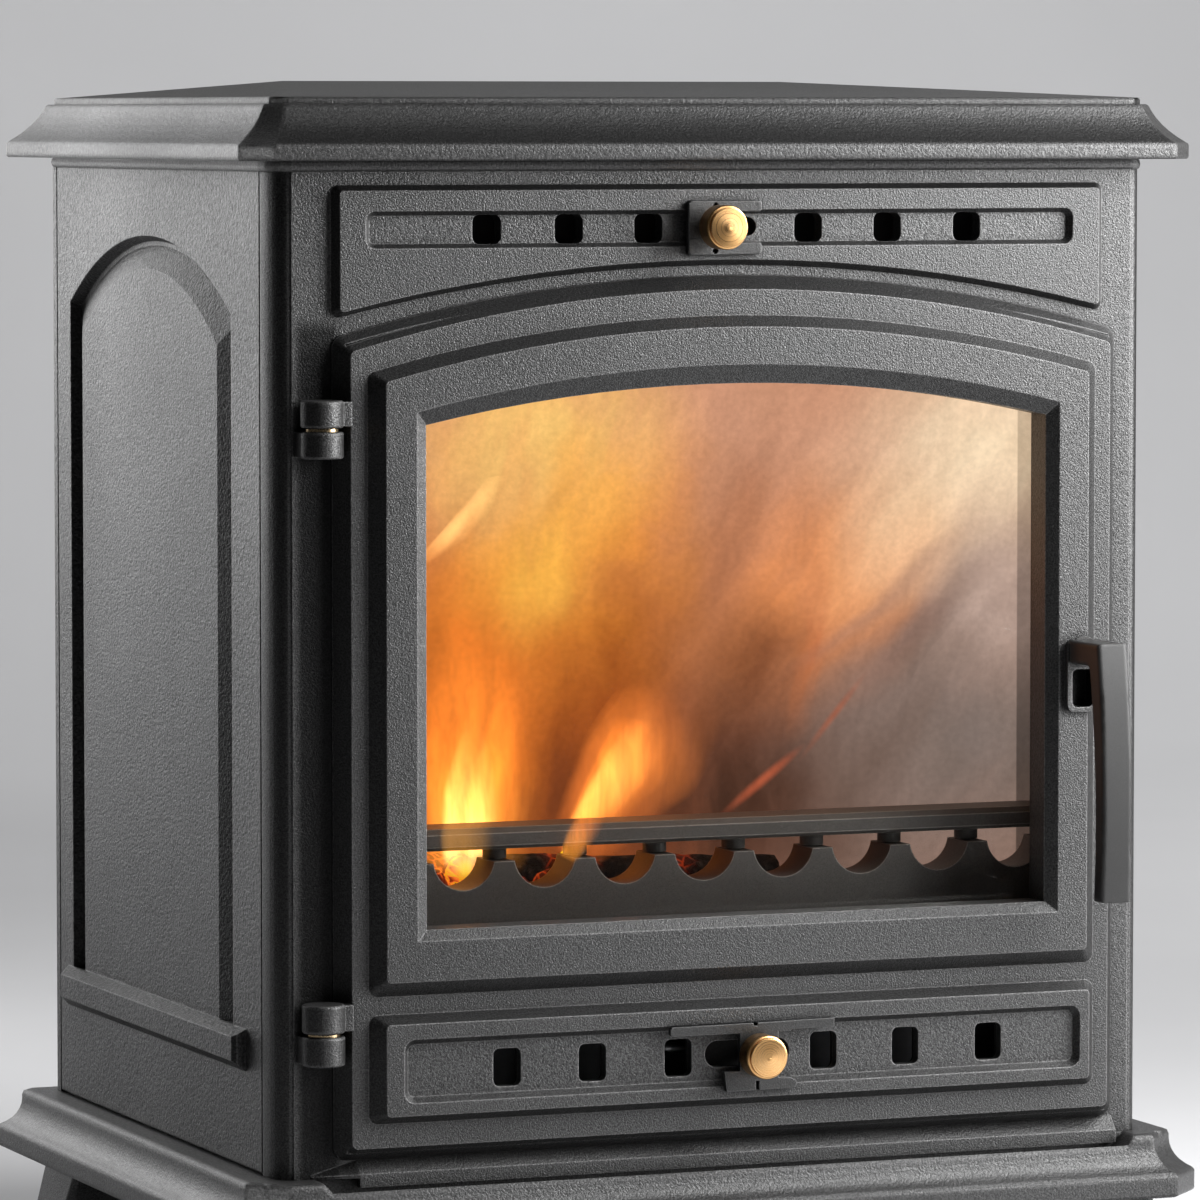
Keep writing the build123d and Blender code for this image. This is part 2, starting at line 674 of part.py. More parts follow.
# log guard: scalloped apron, bulged balusters and rail
teeth = [-201.3 + 46 * k for k in range(9)]
with BuildPart() as log_guard:
    with BuildSketch(front(61)):
        with BuildLine():
            Polyline(*rect_pts(-211, 211, -412, -365), close=True)
        make_face()
        with Locations(*[(x + 23, Z(-362.3)) for x in teeth]):
            Circle(17.4, mode=Mode.SUBTRACT)
    extrude(amount=26)
    with BuildSketch(level(-366)):
        with Locations(*[(x, Y(50)) for x in teeth]):
            Circle(4.6)
    with BuildSketch(level(-362)):
        with Locations(*[(x, Y(50)) for x in teeth]):
            Circle(6.4)
    extrude(amount=2.5, both=True)
    with BuildSketch(level(-366)):
        with Locations(*[(x, Y(50)) for x in teeth]):
            Circle(4.6)
    extrude(amount=9)
    with BuildSketch(side(-211)):
        with BuildLine():
            Polyline(*yz([(38, -347), (35, -350), (35, -356.5), (37, -358.5), (65, -358.5), (65, -347)]), close=True)
        make_face()
    extrude(amount=422)
    with BuildSketch(level(-412.1)):
        with Locations((0, Y(56))):
            Rectangle(404, 24)
    extrude(amount=20, mode=Mode.SUBTRACT)
log_guard.part.label = "log_guard"

with BuildPart() as air_wash_plate:
    with BuildSketch(side(-212)):
        with BuildLine():
            Polyline(*yz([(7, -0.5), (27, -0.5), (27, -96), (24, -96), (24, -3.5), (7, -3.5)]), close=True)
        make_face()
    extrude(amount=424)
    with BuildSketch(front(7)):
        with BuildLine():
            Polyline(*rect_pts(-212, -209, -96, -1), close=True)
        make_face()
        with BuildLine():
            Polyline(*rect_pts(209, 212, -96, -1), close=True)
        make_face()
    extrude(amount=-18)
air_wash_plate.part.label = "air_wash_plate"

# ------------------------------------------------------------------
# hinge pins and brass washers
# ------------------------------------------------------------------
with BuildPart() as hinge_pins:
    for z0, z1 in ((-146.7, -121.5), (-461.2, -434.0)):
        with BuildSketch(level(z0)):
            with Locations((HINGE_X, Y(HINGE_Y))):
                Circle(PIN_R)
        extrude(amount=z1 - z0)
    chamfer(hinge_pins.edges().filter_by(GeomType.CIRCLE), 0.6)
hinge_pins.part.label = "hinge_pins"

with BuildPart() as hinge_washers:
    for z0, t in ((-133.5, 1.6), (-446.5, 1.2)):
        with BuildSketch(level(z0)):
            with Locations((HINGE_X, Y(HINGE_Y))):
                Circle(8.5)
                Circle(PIN_R, mode=Mode.SUBTRACT)
        extrude(amount=t)
hinge_washers.part.label = "hinge_washers"

# ------------------------------------------------------------------
# door casting
# ------------------------------------------------------------------
with BuildPart() as door:
    with BuildSketch(front(Y_DOOR_BACK)):
        with BuildLine():
            arched(DOOR_HALF, -55, -86, -514)
        make_face()
        fillet(vertices(), 7)
    with BuildSketch(front(Y_RING)):
        with BuildLine():
            arched(DOOR_FACE, -62.5, -93, -507)
        make_face()
        fillet(vertices(), 3.5)
    loft(ruled=True)
    # raised window frame
    with BuildSketch(front(Y_RING + 0.01)):
        with BuildLine():
            arched(FRAME_BASE, -76, -104, -428)
        make_face()
        fillet(vertices(), 5)
    with BuildSketch(front(Y_FACE)):
        with BuildLine():
            arched(FRAME_FACE, -82, -108.5, -420)
        make_face()
        fillet(vertices(), 2.5)
    loft(ruled=True)
    # raised lower vent panel
    with BuildSketch(front(Y_RING + 0.01)):
        with BuildLine():
            Polyline(*rect_pts(-203, 214, -494.5, -437.5), close=True)
        make_face()
        fillet(vertices(), 5)
    with BuildSketch(front(Y_FACE)):
        with BuildLine():
            Polyline(*rect_pts(-195.8, 208.4, -490, -442), close=True)
        make_face()
        fillet(vertices(), 2.5)
    loft(ruled=True)
    # inner rim that carries the glass, and the spindle's boss
    with BuildSketch(front(Y_DOOR_BACK)):
        with BuildLine():
            arched(RIM_HALF, -92, -114, -408.5)
        make_face()
        with Locations((SPINDLE_X, Z(SPINDLE_Z))):
            Circle(9)
    extrude(amount=-(Y_RIM - Y_DOOR_BACK))
    # handle boss
    with BuildSketch(front(-9)):
        with Locations((202, Z(-271.5))):
            RectangleRounded(18, 39, 4)
    extrude(amount=13.5)
    # window opening with its chamfer
    with BuildSketch(front(Y_FACE - 0.01)):
        with BuildLine():
            arched(WIN_OUT, -101.5, -124, -399)
        make_face()
    with BuildSketch(front(-14.5)):
        with BuildLine():
            arched(WIN_HALF, -111.7, -131, -393.5)
        make_face()
    loft(ruled=True, mode=Mode.SUBTRACT)
    with BuildSketch(front(-14.6)):
        with BuildLine():
            arched(WIN_HALF, -111.7, -131, -393.5)
        make_face()
    extrude(amount=-20, mode=Mode.SUBTRACT)
    # lower vent: recess, holes, slot, pocket behind
    with BuildSketch(front(Y_FACE - 0.01)):
        with Locations((8.5, Z(-466.75))):
            RectangleRounded(389, 33.5, 6)
    with BuildSketch(front(-15)):
        with Locations((8.5, Z(-466.75))):
            RectangleRounded(383, 27.5, 4)
    loft(ruled=True, mode=Mode.SUBTRACT)
    with BuildSketch(front(0)):
        with Locations(*[(x, Z(LO_Z)) for x in LO_HOLES]):
            RectangleRounded(15.5, 20, 3.5)
        with Locations((9.0, Z(-466.6))):
            RectangleRounded(48.6, 14, 6.9)
    extrude(amount=20, mode=Mode.SUBTRACT)
    with BuildSketch(front(0)):
        with Locations((7.5, Z(-467.5))):
            RectangleRounded(395, 47, 3)
    extrude(amount=9, mode=Mode.SUBTRACT)
    # rope channels
    with BuildSketch(front(0)):
        with BuildLine():
            arched(ROPE_HALF + 4.5, -61, -89, -509.5)
        make_face()
        with BuildLine():
            arched(ROPE_HALF - 4.5, -70, -97.3, -500.5)
        make_face(mode=Mode.SUBTRACT)
        with Locations((DOOR_CX, Z(-420))):
            Rectangle(2 * ROPE_HALF - 6, 9)
    extrude(amount=6.6, mode=Mode.SUBTRACT)
    # spindle bush bore, clip screw holes, guide screw holes
    with BuildSketch(front(5)):
        with Locations((SPINDLE_X, Z(SPINDLE_Z))):
            Circle(7)
    extrude(amount=30, mode=Mode.SUBTRACT)
    with BuildSketch(front(-4)):
        with Locations(*[(DOOR_CX + s * 191.8, Z(z)) for s in (-1, 1) for z in (-175, -345)]):
            Circle(2)
    extrude(amount=-8, mode=Mode.SUBTRACT)
    with BuildSketch(front(-12)):
        with Locations(*[(x, Z(z)) for x in (-150, 8, 175) for z in (-449.8, -485.2)]):
            Circle(1.5)
    extrude(amount=-4, mode=Mode.SUBTRACT)
    # recess in the handle boss under the arm
    with BuildSketch(front(-13.0)):
        with Locations((202, Z(-278.2))):
            RectangleRounded(12.5, 20.5, 3)
    extrude(amount=13, mode=Mode.SUBTRACT)
    # door knuckles with webs
    for z0, z1 in ((-131.6, -117.5), (-445.0, -430.0)):
        with BuildSketch(level(z0 + 0.8)):
            with Locations((-220.6, Y(-10))):
                Rectangle(15, 12)
        extrude(amount=z1 - z0 - 1.6)
    add(door_knuckles.part)
    with BuildSketch(level(-131.7)):
        with Locations((HINGE_X, Y(HINGE_Y))):
            Circle(PIN_R + RUN)
    extrude(amount=11.2, mode=Mode.SUBTRACT)
    with BuildSketch(level(-445.1)):
        with Locations((HINGE_X, Y(HINGE_Y))):
            Circle(PIN_R + RUN)
    extrude(amount=12.1, mode=Mode.SUBTRACT)
door.part.label = "door"

with BuildPart() as handle_bush:
    with BuildSketch(front(Y_RIM)):
        with Locations((SPINDLE_X, Z(SPINDLE_Z))):
            Circle(7)
    extrude(amount=26)
    with BuildSketch(front(-22.5)):
        with Locations((SPINDLE_X, Z(SPINDLE_Z))):
            Circle(8)
    extrude(amount=1.2)
    with BuildSketch(front(Y_RIM + 1)):
        with Locations((SPINDLE_X, Z(SPINDLE_Z))):
            Circle(SPINDLE_R + RUN)
    extrude(amount=30, mode=Mode.SUBTRACT)
handle_bush.part.label = "handle_bush"

with BuildPart() as door_glass:
    with BuildSketch(front(Y_RIM + 1.0)):
        with BuildLine():
            arched(GLASS_HALF, -101.7, -122, -403)
        make_face()
    extrude(amount=-GLASS_T)
door_glass.part.label = "door_glass"

with BuildPart() as glass_gasket:
    with BuildSketch(front(Y_RIM)):
        with BuildLine():
            arched(GLASS_HALF - 0.5, -102.2, -122.5, -402.5)
        make_face()
        with BuildLine():
            arched(WIN_HALF + 2, -109.5, -129.2, -395.5)
        make_face(mode=Mode.SUBTRACT)
    extrude(amount=-1.0)
glass_gasket.part.label = "glass_gasket"

with BuildPart() as glass_clips:
    with BuildSketch(front(Y_RIM)):
        with Locations(*[(DOOR_CX + s * 191.6, Z(z)) for s in (-1, 1) for z in (-175, -345)]):
            Rectangle(7.4, 14)
    extrude(amount=-6.8)
    with BuildSketch(front(8.5)):
        with Locations(*[(DOOR_CX + s * 188.2, Z(z)) for s in (-1, 1) for z in (-175, -345)]):
            Rectangle(14.2, 14)
    extrude(amount=-1.8)
    with BuildSketch(front(Y_RIM - 1)):
        with Locations(*[(DOOR_CX + s * 191.8, Z(z)) for s in (-1, 1) for z in (-175, -345)]):
            Circle(2)
    extrude(amount=-12, mode=Mode.SUBTRACT)
glass_clips.part.label = "glass_clips"

with BuildPart() as glass_clip_screws:
    with BuildSketch(front(10.3)):
        with Locations(*[(DOOR_CX + s * 191.8, Z(z)) for s in (-1, 1) for z in (-175, -345)]):
            Circle(3.4)
    extrude(amount=-2.4)
    chamfer(glass_clip_screws.edges().filter_by(GeomType.CIRCLE).group_by(Axis.Y)[-1], 0.8)
    with BuildSketch(front(10.3)):
        with Locations(*[(DOOR_CX + s * 191.8, Z(z)) for s in (-1, 1) for z in (-175, -345)]):
            Circle(2)
    extrude(amount=14.2)
glass_clip_screws.part.label = "glass_clip_screws"

with BuildPart() as door_seal:
    with BuildSketch(front(-6.4)):
        with BuildLine():
            arched(ROPE_HALF + 4.2, -61.3, -89.3, -509.2)
        make_face()
        with BuildLine():
            arched(ROPE_HALF - 4.2, -69.7, -97.1, -500.8)
        make_face(mode=Mode.SUBTRACT)
    extrude(amount=-6.0)
    with BuildSketch(front(-6.4)):
        with Locations((DOOR_CX, Z(-420))):
            Rectangle(2 * ROPE_HALF - 9.4, 8.2)
    extrude(amount=-6.0)
    fillet(door_seal.edges().filter_by(Axis.Y, reverse=True), 2.4)
door_seal.part.label = "door_seal"

with BuildPart() as lower_air_guides:
    with BuildSketch(front(-9)):
        with BuildLine():
            Polyline(*rect_pts(-182, 196, -453.2, -446), close=True)
        make_face()
        with BuildLine():
            Polyline(*rect_pts(-182, 196, -489, -481.8), close=True)
        make_face()
    extrude(amount=-2.6)
    with BuildSketch(front(-6.4)):
        with BuildLine():
            Polyline(*rect_pts(-182, 196, -455.6, -446), close=True)
        make_face()
        with BuildLine():
            Polyline(*rect_pts(-182, 196, -489, -479.4), close=True)
        make_face()
    extrude(amount=-1.8)
    with BuildSketch(front(-10)):
        with Locations(*[(x, Z(z)) for x in (-150, 8, 175) for z in (-449.8, -485.2)]):
            Circle(1.5)
    extrude(amount=-8, mode=Mode.SUBTRACT)
lower_air_guides.part.label = "lower_air_guides"

with BuildPart() as lower_air_guide_screws:
    with BuildSketch(front(-4.6)):
        with Locations(*[(x, Z(z)) for x in (-150, 8, 175) for z in (-449.8, -485.2)]):
            Circle(2.6)
    extrude(amount=-1.6)
    with BuildSketch(front(-4.6)):
        with Locations(*[(x, Z(z)) for x in (-150, 8, 175) for z in (-449.8, -485.2)]):
            Circle(1.5)
    extrude(amount=7.2)
lower_air_guide_screws.part.label = "lower_air_guide_screws"

# ------------------------------------------------------------------
# handle: bowed grip with its arm, spindle, cam, nut
# ------------------------------------------------------------------
with BuildPart() as handle_grip:
    with BuildSketch(side(193.2)):
        with BuildLine():
            ThreePointArc((Y(-58), Z(-252)), (Y(-65.4), Z(-318)), (Y(-64), Z(-390)))
            Line((Y(-64), Z(-390)), (Y(-53.6), Z(-390)))
            ThreePointArc((Y(-53.6), Z(-390)), (Y(-54.4), Z(-322)), (Y(-47), Z(-264.5)))
            Polyline((Y(-47), Z(-264.5)), (Y(-24.1), Z(-264.5)), (Y(-24.1), Z(-252)), (Y(-58), Z(-252)))
        make_face()
        fillet(vertices().sort_by_distance((Y(-47), Z(-264.5)))[0], 4)
    extrude(amount=17.6)
    fillet([e for e in handle_grip.edges().filter_by_position(Axis.X, 193.1, 193.3)
            + handle_grip.edges().filter_by_position(Axis.X, 210.7, 210.9)
            if e.center().Y < Y(-25)], 2.0)
    with BuildSketch(front(-24)):
        with Locations((SPINDLE_X, Z(SPINDLE_Z))):
            Circle(SPINDLE_R)
    extrude(amount=18, mode=Mode.SUBTRACT)
handle_grip.part.label = "handle_grip"

with BuildPart() as handle_spindle:
    with BuildSketch(front(18)):
        with Locations((SPINDLE_X, Z(SPINDLE_Z))):
            Circle(SPINDLE_R)
    extrude(amount=59)
handle_spindle.part.label = "handle_spindle"

with BuildPart() as latch_cam:
    with BuildSketch(front(4)):
        with Locations((SPINDLE_X, Z(SPINDLE_Z))):
            Circle(8)
        with Locations((SPINDLE_X + 5.2, Z(SPINDLE_Z))):
            Rectangle(10.4, 6)
        with Locations((SPINDLE_X, Z(SPINDLE_Z))):
            Circle(SPINDLE_R, mode=Mode.SUBTRACT)
    extrude(amount=-7)
latch_cam.part.label = "latch_cam"

with BuildPart() as latch_nut:
    with BuildSketch(front(11)):
        with Locations((SPINDLE_X, Z(SPINDLE_Z))):
            RegularPolygon(9.2, 6)
            Circle(SPINDLE_R, mode=Mode.SUBTRACT)
    extrude(amount=-5.5)
latch_nut.part.label = "latch_nut"

# ------------------------------------------------------------------
# upper air slide
# ------------------------------------------------------------------
with BuildPart() as upper_air_guides:
    with BuildSketch(front(WALL)):
        with BuildLine():
            Polyline(*rect_pts(-190, 205, -17.5, -11), close=True)
        make_face()
        with BuildLine():
            Polyline(*rect_pts(-190, 205, -49.3, -43.1), close=True)
        make_face()
    extrude(amount=-2.6)
    with BuildSketch(front(WALL + 2.6)):
        with BuildLine():
            Polyline(*rect_pts(-190, 205, -20, -11), close=True)
        make_face()
        with BuildLine():
            Polyline(*rect_pts(-190, 205, -49.3, -40.6), close=True)
        make_face()
    extrude(amount=-1.8)
    with BuildSketch(front(WALL - 1)):
        with Locations(*[(x, Z(z)) for x in (-160, 12, 175) for z in (-14.0, -46.3)]):
            Circle(2)
    extrude(amount=-8, mode=Mode.SUBTRACT)
upper_air_guides.part.label = "upper_air_guides"

with BuildPart() as upper_air_guide_screws:
    with BuildSketch(front(WALL + 4.4)):
        with Locations(*[(x, Z(z)) for x in (-160, 12, 175) for z in (-14.0, -46.3)]):
            Circle(2.9)
    extrude(amount=-2)
    with BuildSketch(front(WALL + 4.4)):
        with Locations(*[(x, Z(z)) for x in (-160, 12, 175) for z in (-14.0, -46.3)]):
            Circle(2)
    extrude(amount=8.8)
upper_air_guide_screws.part.label = "upper_air_guide_screws"

with BuildPart() as upper_air_shutter:
    with BuildSketch(front(WALL + 0.3)):
        with Locations((4.5, Z(UP_Z))):
            RectangleRounded(301, 25, 3)
        with Locations(*[(x, Z(UP_Z)) for x in UP_HOLES]):
            RectangleRounded(16, 15.5, 4, mode=Mode.SUBTRACT)
        with Locations((UP_KNOB_X, Z(UP_KNOB_Z))):
            Circle(4, mode=Mode.SUBTRACT)
    extrude(amount=-2)
upper_air_shutter.part.label = "upper_air_shutter"

with BuildPart() as upper_air_slide_plate:
    with BuildSketch(front(-5.3)):
        with BuildLine():
            Polyline((-22.4, Z(-44.6)), (19.8, Z(-44.2)), (19.8, Z(-37.6)), (2, Z(-37.6)), (2, Z(-21.7)),
                     (19.8, Z(-21.7)), (19.8, Z(-15.7)), (-22.4, Z(-15.6)), close=True)
        make_face()
        fillet(vertices().group_by(Axis.X)[0], 2.5)
        fillet(vertices().group_by(Axis.X)[-1], 2.0)
        with Locations((UP_KNOB_X, Z(UP_KNOB_Z))):
            Circle(4, mode=Mode.SUBTRACT)
        with Locations((-6.9, Z(-18.4)), (-7.1, Z(-42.2))):
            Rectangle(3.2, 1.8, mode=Mode.SUBTRACT)
            Rectangle(1.8, 3.2, mode=Mode.SUBTRACT)
    extrude(amount=3.5)
    chamfer([e for e in upper_air_slide_plate.edges().group_by(Axis.Y)[0].filter_by(GeomType.LINE)
             if e.length > 9], 0.6)
upper_air_slide_plate.part.label = "upper_air_slide_plate"

with BuildPart() as upper_air_stud:
    with BuildSketch(front(WALL + 4.3)):
        with Locations((UP_KNOB_X, Z(UP_KNOB_Z))):
            RegularPolygon(7, 6)
    extrude(amount=2)
    with BuildSketch(front(WALL + 4.3)):
        with Locations((UP_KNOB_X, Z(UP_KNOB_Z))):
            Circle(4)
    extrude(amount=31)
upper_air_stud.part.label = "upper_air_stud"

with BuildPart() as upper_air_knob:
    with BuildSketch(Plane(origin=(UP_KNOB_X, Y(-8.8), Z(UP_KNOB_Z)), x_dir=(1, 0, 0), z_dir=(0, 0, 1))):
        with BuildLine():
            Polyline((0, 0), (6.5, 0), (6.5, -7.4), (10.9, -7.8), (11.5, -8.4), (KNOB_R, -9.2),
                     (KNOB_R, -19.3), (11.3, -20.1), (10.6, -20.5), (9.7, -20.5), (9.7, -21.2),
                     (10.3, -21.5), (10.4, -21.9), (10.1, -22.2), (0, -23.2), (0, 0))
        make_face()
    revolve(axis=Axis((UP_KNOB_X, Y(0), Z(UP_KNOB_Z)), (0, 1, 0)))
    with BuildSketch(front(-8)):
        with Locations((UP_KNOB_X, Z(UP_KNOB_Z))):
            Circle(4)
    extrude(amount=11.8, mode=Mode.SUBTRACT)
upper_air_knob.part.label = "upper_air_knob"

# ------------------------------------------------------------------
# lower air slide, carried by the door
# ------------------------------------------------------------------
with BuildPart() as lower_air_shutter:
    with BuildSketch(front(-8.7)):
        with Locations((11.2, Z(LO_Z))):
            RectangleRounded(306, 28, 3)
        with Locations(*[(x, Z(LO_Z)) for x in LO_HOLES]):
            RectangleRounded(15.5, 21, 3.5, mode=Mode.SUBTRACT)
        with Locations((LO_KNOB_X, Z(LO_KNOB_Z))):
            Circle(4, mode=Mode.SUBTRACT)
    extrude(amount=-2)
lower_air_shutter.part.label = "lower_air_shutter"

with BuildPart() as lower_air_slide_plate:
    with BuildSketch(front(-19.3)):
        with BuildLine():
            Polyline((-37.0, Z(-455.2)), (-37.8, Z(-454.2)), (-37.8, Z(-451.4)), (-37.0, Z(-450.4)), (9.6, Z(-450.1)),
                     (9.6, Z(-451.6)), (12.0, Z(-451.6)), (12.0, Z(-450.1)), (32, Z(-449.8)), (56.3, Z(-449.5)),
                     (56.3, Z(-454.2)), (32, Z(-454.4)), (31, Z(-455.3)),
                     (24, Z(-455.3)), (24, Z(-479.8)), (31.5, Z(-480.3)), (34.0, Z(-481.5)), (34.8, Z(-483.4)),
                     (34.0, Z(-485.2)), (31.5, Z(-485.8)), (13.0, Z(-485.9)), (13.0, Z(-481.0)), (11.0, Z(-481.0)),
                     (11.0, Z(-485.9)), (-5.6, Z(-486)), (-7, Z(-475.3)), (2, Z(-475.3)),
                     (2, Z(-455.3)), close=True)
        make_face()
        with Locations((LO_KNOB_X, Z(LO_KNOB_Z))):
            Circle(4, mode=Mode.SUBTRACT)
    extrude(amount=3.0)
lower_air_slide_plate.part.label = "lower_air_slide_plate"

with BuildPart() as lower_air_stud:
    with BuildSketch(front(-5.1)):
        with Locations((LO_KNOB_X, Z(LO_KNOB_Z))):
            RegularPolygon(7, 6)
    extrude(amount=1.6)
    with BuildSketch(front(-5.1)):
        with Locations((LO_KNOB_X, Z(LO_KNOB_Z))):
            Circle(4)
    extrude(amount=25)
lower_air_stud.part.label = "lower_air_stud"

with BuildPart() as lower_air_knob:
    with BuildSketch(Plane(origin=(LO_KNOB_X, Y(-22.3), Z(LO_KNOB_Z)), x_dir=(1, 0, 0), z_dir=(0, 0, 1))):
        with BuildLine():
            Polyline((0, 0), (6.5, 0), (6.5, -3.4), (10.9, -3.8), (11.5, -4.4), (KNOB_R, -5.2),
                     (KNOB_R, -14.9), (11.3, -15.7), (10.6, -16.1), (9.7, -16.1), (9.7, -16.8),
                     (10.3, -17.1), (10.4, -17.5), (10.1, -17.8), (0, -18.8), (0, 0))
        make_face()
    revolve(axis=Axis((LO_KNOB_X, Y(0), Z(LO_KNOB_Z)), (0, 1, 0)))
    with BuildSketch(front(-22)):
        with Locations((LO_KNOB_X, Z(LO_KNOB_Z))):
            Circle(4)
    extrude(amount=8.1, mode=Mode.SUBTRACT)
lower_air_knob.part.label = "lower_air_knob"

for piece in (base_plinth, leg_front_left, leg_front_right, leg_rear_left, leg_rear_right, leg_bolts,
              front_frame, side_panel_left, side_panel_right, back_panel, flue_collar, flue_collar_bolts,
              top_plate, tie_rods, tie_rod_nuts, firebrick_left, firebrick_right, firebrick_rear,
              baffle_plate, firebox_floor, ash_side_plates, grate, ash_floor, ash_pan, ash_pan_handle, log_guard,
              air_wash_plate, hinge_pins, hinge_washers, door, handle_bush, door_glass, glass_gasket,
              glass_clips, glass_clip_screws, door_seal, lower_air_guides, lower_air_guide_screws,
              handle_grip, handle_spindle, latch_cam, latch_nut, upper_air_guides,
              upper_air_guide_screws, upper_air_shutter, upper_air_slide_plate, upper_air_stud,
              upper_air_knob, lower_air_shutter, lower_air_slide_plate, lower_air_stud, lower_air_knob):
    export_step(piece.part, f"parts/{piece.part.label}.step")
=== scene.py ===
import bpy, bmesh, math, random
from mathutils import Vector, Matrix, noise


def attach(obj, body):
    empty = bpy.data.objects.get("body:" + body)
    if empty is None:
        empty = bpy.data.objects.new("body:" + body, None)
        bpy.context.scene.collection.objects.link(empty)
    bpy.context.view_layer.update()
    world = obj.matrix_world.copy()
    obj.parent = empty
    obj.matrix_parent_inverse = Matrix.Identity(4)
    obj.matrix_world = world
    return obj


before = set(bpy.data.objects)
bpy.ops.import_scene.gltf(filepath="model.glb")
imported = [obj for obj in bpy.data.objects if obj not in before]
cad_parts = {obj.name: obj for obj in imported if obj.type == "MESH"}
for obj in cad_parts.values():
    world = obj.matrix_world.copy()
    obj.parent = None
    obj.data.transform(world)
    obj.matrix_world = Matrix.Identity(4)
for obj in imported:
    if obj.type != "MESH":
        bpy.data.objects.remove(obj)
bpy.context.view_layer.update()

random.seed(7)
scene = bpy.context.scene

YS = -0.1785          # front face of the body
ZN = 0.632            # top of the body


def Y(y):
    return y / 1000.0 + YS


def Z(z):
    return z / 1000.0 + ZN


# ------------------------------------------------------------------
# camera
# ------------------------------------------------------------------
cam_data = bpy.data.cameras.new("camera")
cam = bpy.data.objects.new("camera", cam_data)
scene.collection.objects.link(cam)
scene.camera = cam
cam_data.sensor_width = 36.0
cam_data.lens = 211.17
cam_data.clip_start = 0.05
cam_data.clip_end = 60.0
cam.location = (-1.45614, Y(-3419.86), Z(28.13))
cam.rotation_euler = (math.radians(90.0 - 3.927), 0.0, math.radians(-22.078))


# ------------------------------------------------------------------
# small node helpers
# ------------------------------------------------------------------
class Mat:
    def __init__(self, name):
        self.m = bpy.data.materials.new(name)
        self.m.use_nodes = True
        self.t = self.m.node_tree
        self.t.nodes.clear()
        self.out = self.t.nodes.new("ShaderNodeOutputMaterial")
        self.co = self.t.nodes.new("ShaderNodeTexCoord")

    def node(self, kind, **props):
        n = self.t.nodes.new(kind)
        for k, v in props.items():
            setattr(n, k, v)
        return n

    def link(self, a, b):
        self.t.links.new(a, b)

    def bsdf(self, color, rough, metal=0.0, spec=0.5):
        b = self.node("ShaderNodeBsdfPrincipled")
        b.inputs["Base Color"].default_value = (*color, 1.0)
        b.inputs["Roughness"].default_value = rough
        b.inputs["Metallic"].default_value = metal
        b.inputs["Specular IOR Level"].default_value = spec
        self.link(b.outputs["BSDF"], self.out.inputs["Surface"])
        self.b = b
        return b

    def noise(self, scale, detail=2.0, rough=0.5, dist=0.0, vec=None, dims="3D"):
        n = self.node("ShaderNodeTexNoise", noise_dimensions=dims)
        n.inputs["Scale"].default_value = scale
        n.inputs["Detail"].default_value = detail
        n.inputs["Roughness"].default_value = rough
        n.inputs["Distortion"].default_value = dist
        self.link(vec if vec is not None else self.co.outputs["Object"], n.inputs["Vector"])
        return n

    def voronoi(self, scale, feature="F1", rand=1.0, vec=None, smooth=None):
        n = self.node("ShaderNodeTexVoronoi", feature=feature)
        n.inputs["Scale"].default_value = scale
        n.inputs["Randomness"].default_value = rand
        if smooth is not None:
            n.inputs["Smoothness"].default_value = smooth
        self.link(vec if vec is not None else self.co.outputs["Object"], n.inputs["Vector"])
        return n

    def mapped(self, scale=(1, 1, 1), rot=(0, 0, 0), loc=(0, 0, 0)):
        n = self.node("ShaderNodeMapping")
        n.inputs["Scale"].default_value = scale
        n.inputs["Rotation"].default_value = rot
        n.inputs["Location"].default_value = loc
        self.link(self.co.outputs["Object"], n.inputs["Vector"])
        return n.outputs["Vector"]

    def ramp(self, fac, stops, interp="LINEAR"):
        n = self.node("ShaderNodeValToRGB")
        n.color_ramp.interpolation = interp
        e = n.color_ramp.elements
        while len(e) > 1:
            e.remove(e[-1])
        e[0].position, e[0].color = stops[0][0], (*stops[0][1], 1.0)
        for p, c in stops[1:]:
            x = e.new(p)
            x.color = (*c, 1.0)
        self.link(fac, n.inputs["Fac"])
        return n.outputs["Color"]

    def rng(self, fac, a, b, c, d, smooth=False):
        n = self.node("ShaderNodeMapRange")
        if smooth:
            n.interpolation_type = "SMOOTHSTEP"
        n.inputs["From Min"].default_value = a
        n.inputs["From Max"].default_value = b
        n.inputs["To Min"].default_value = c
        n.inputs["To Max"].default_value = d
        self.link(fac, n.inputs["Value"])
        return n.outputs["Result"]

    def math(self, op, a, b=None):
        n = self.node("ShaderNodeMath", operation=op)
        for i, v in enumerate((a, b)):
            if v is None:
                continue
            if isinstance(v, (int, float)):
                n.inputs[i].default_value = v
            else:
                self.link(v, n.inputs[i])
        return n.outputs[0]

    def mix(self, fac, a, b, blend="MIX"):
        n = self.node("ShaderNodeMix", data_type="RGBA", blend_type=blend)
        if isinstance(fac, (int, float)):
            n.inputs[0].default_value = fac
        else:
            self.link(fac, n.inputs[0])
        for i, v in ((6, a), (7, b)):
            if isinstance(v, tuple):
                n.inputs[i].default_value = (*v, 1.0)
            else:
                self.link(v, n.inputs[i])
        return n.outputs[2]

    def bump(self, height, strength, dist, normal=None):
        n = self.node("ShaderNodeBump")
        n.inputs["Strength"].default_value = strength
        n.inputs["Distance"].default_value = dist
        self.link(height, n.inputs["Height"])
        if normal is not None:
            self.link(normal, n.inputs["Normal"])
        return n.outputs["Normal"]

    def bevel(self, radius, samples=4):
        n = self.node("ShaderNodeBevel")
        n.samples = samples
        n.inputs["Radius"].default_value = radius
        return n.outputs["Normal"]


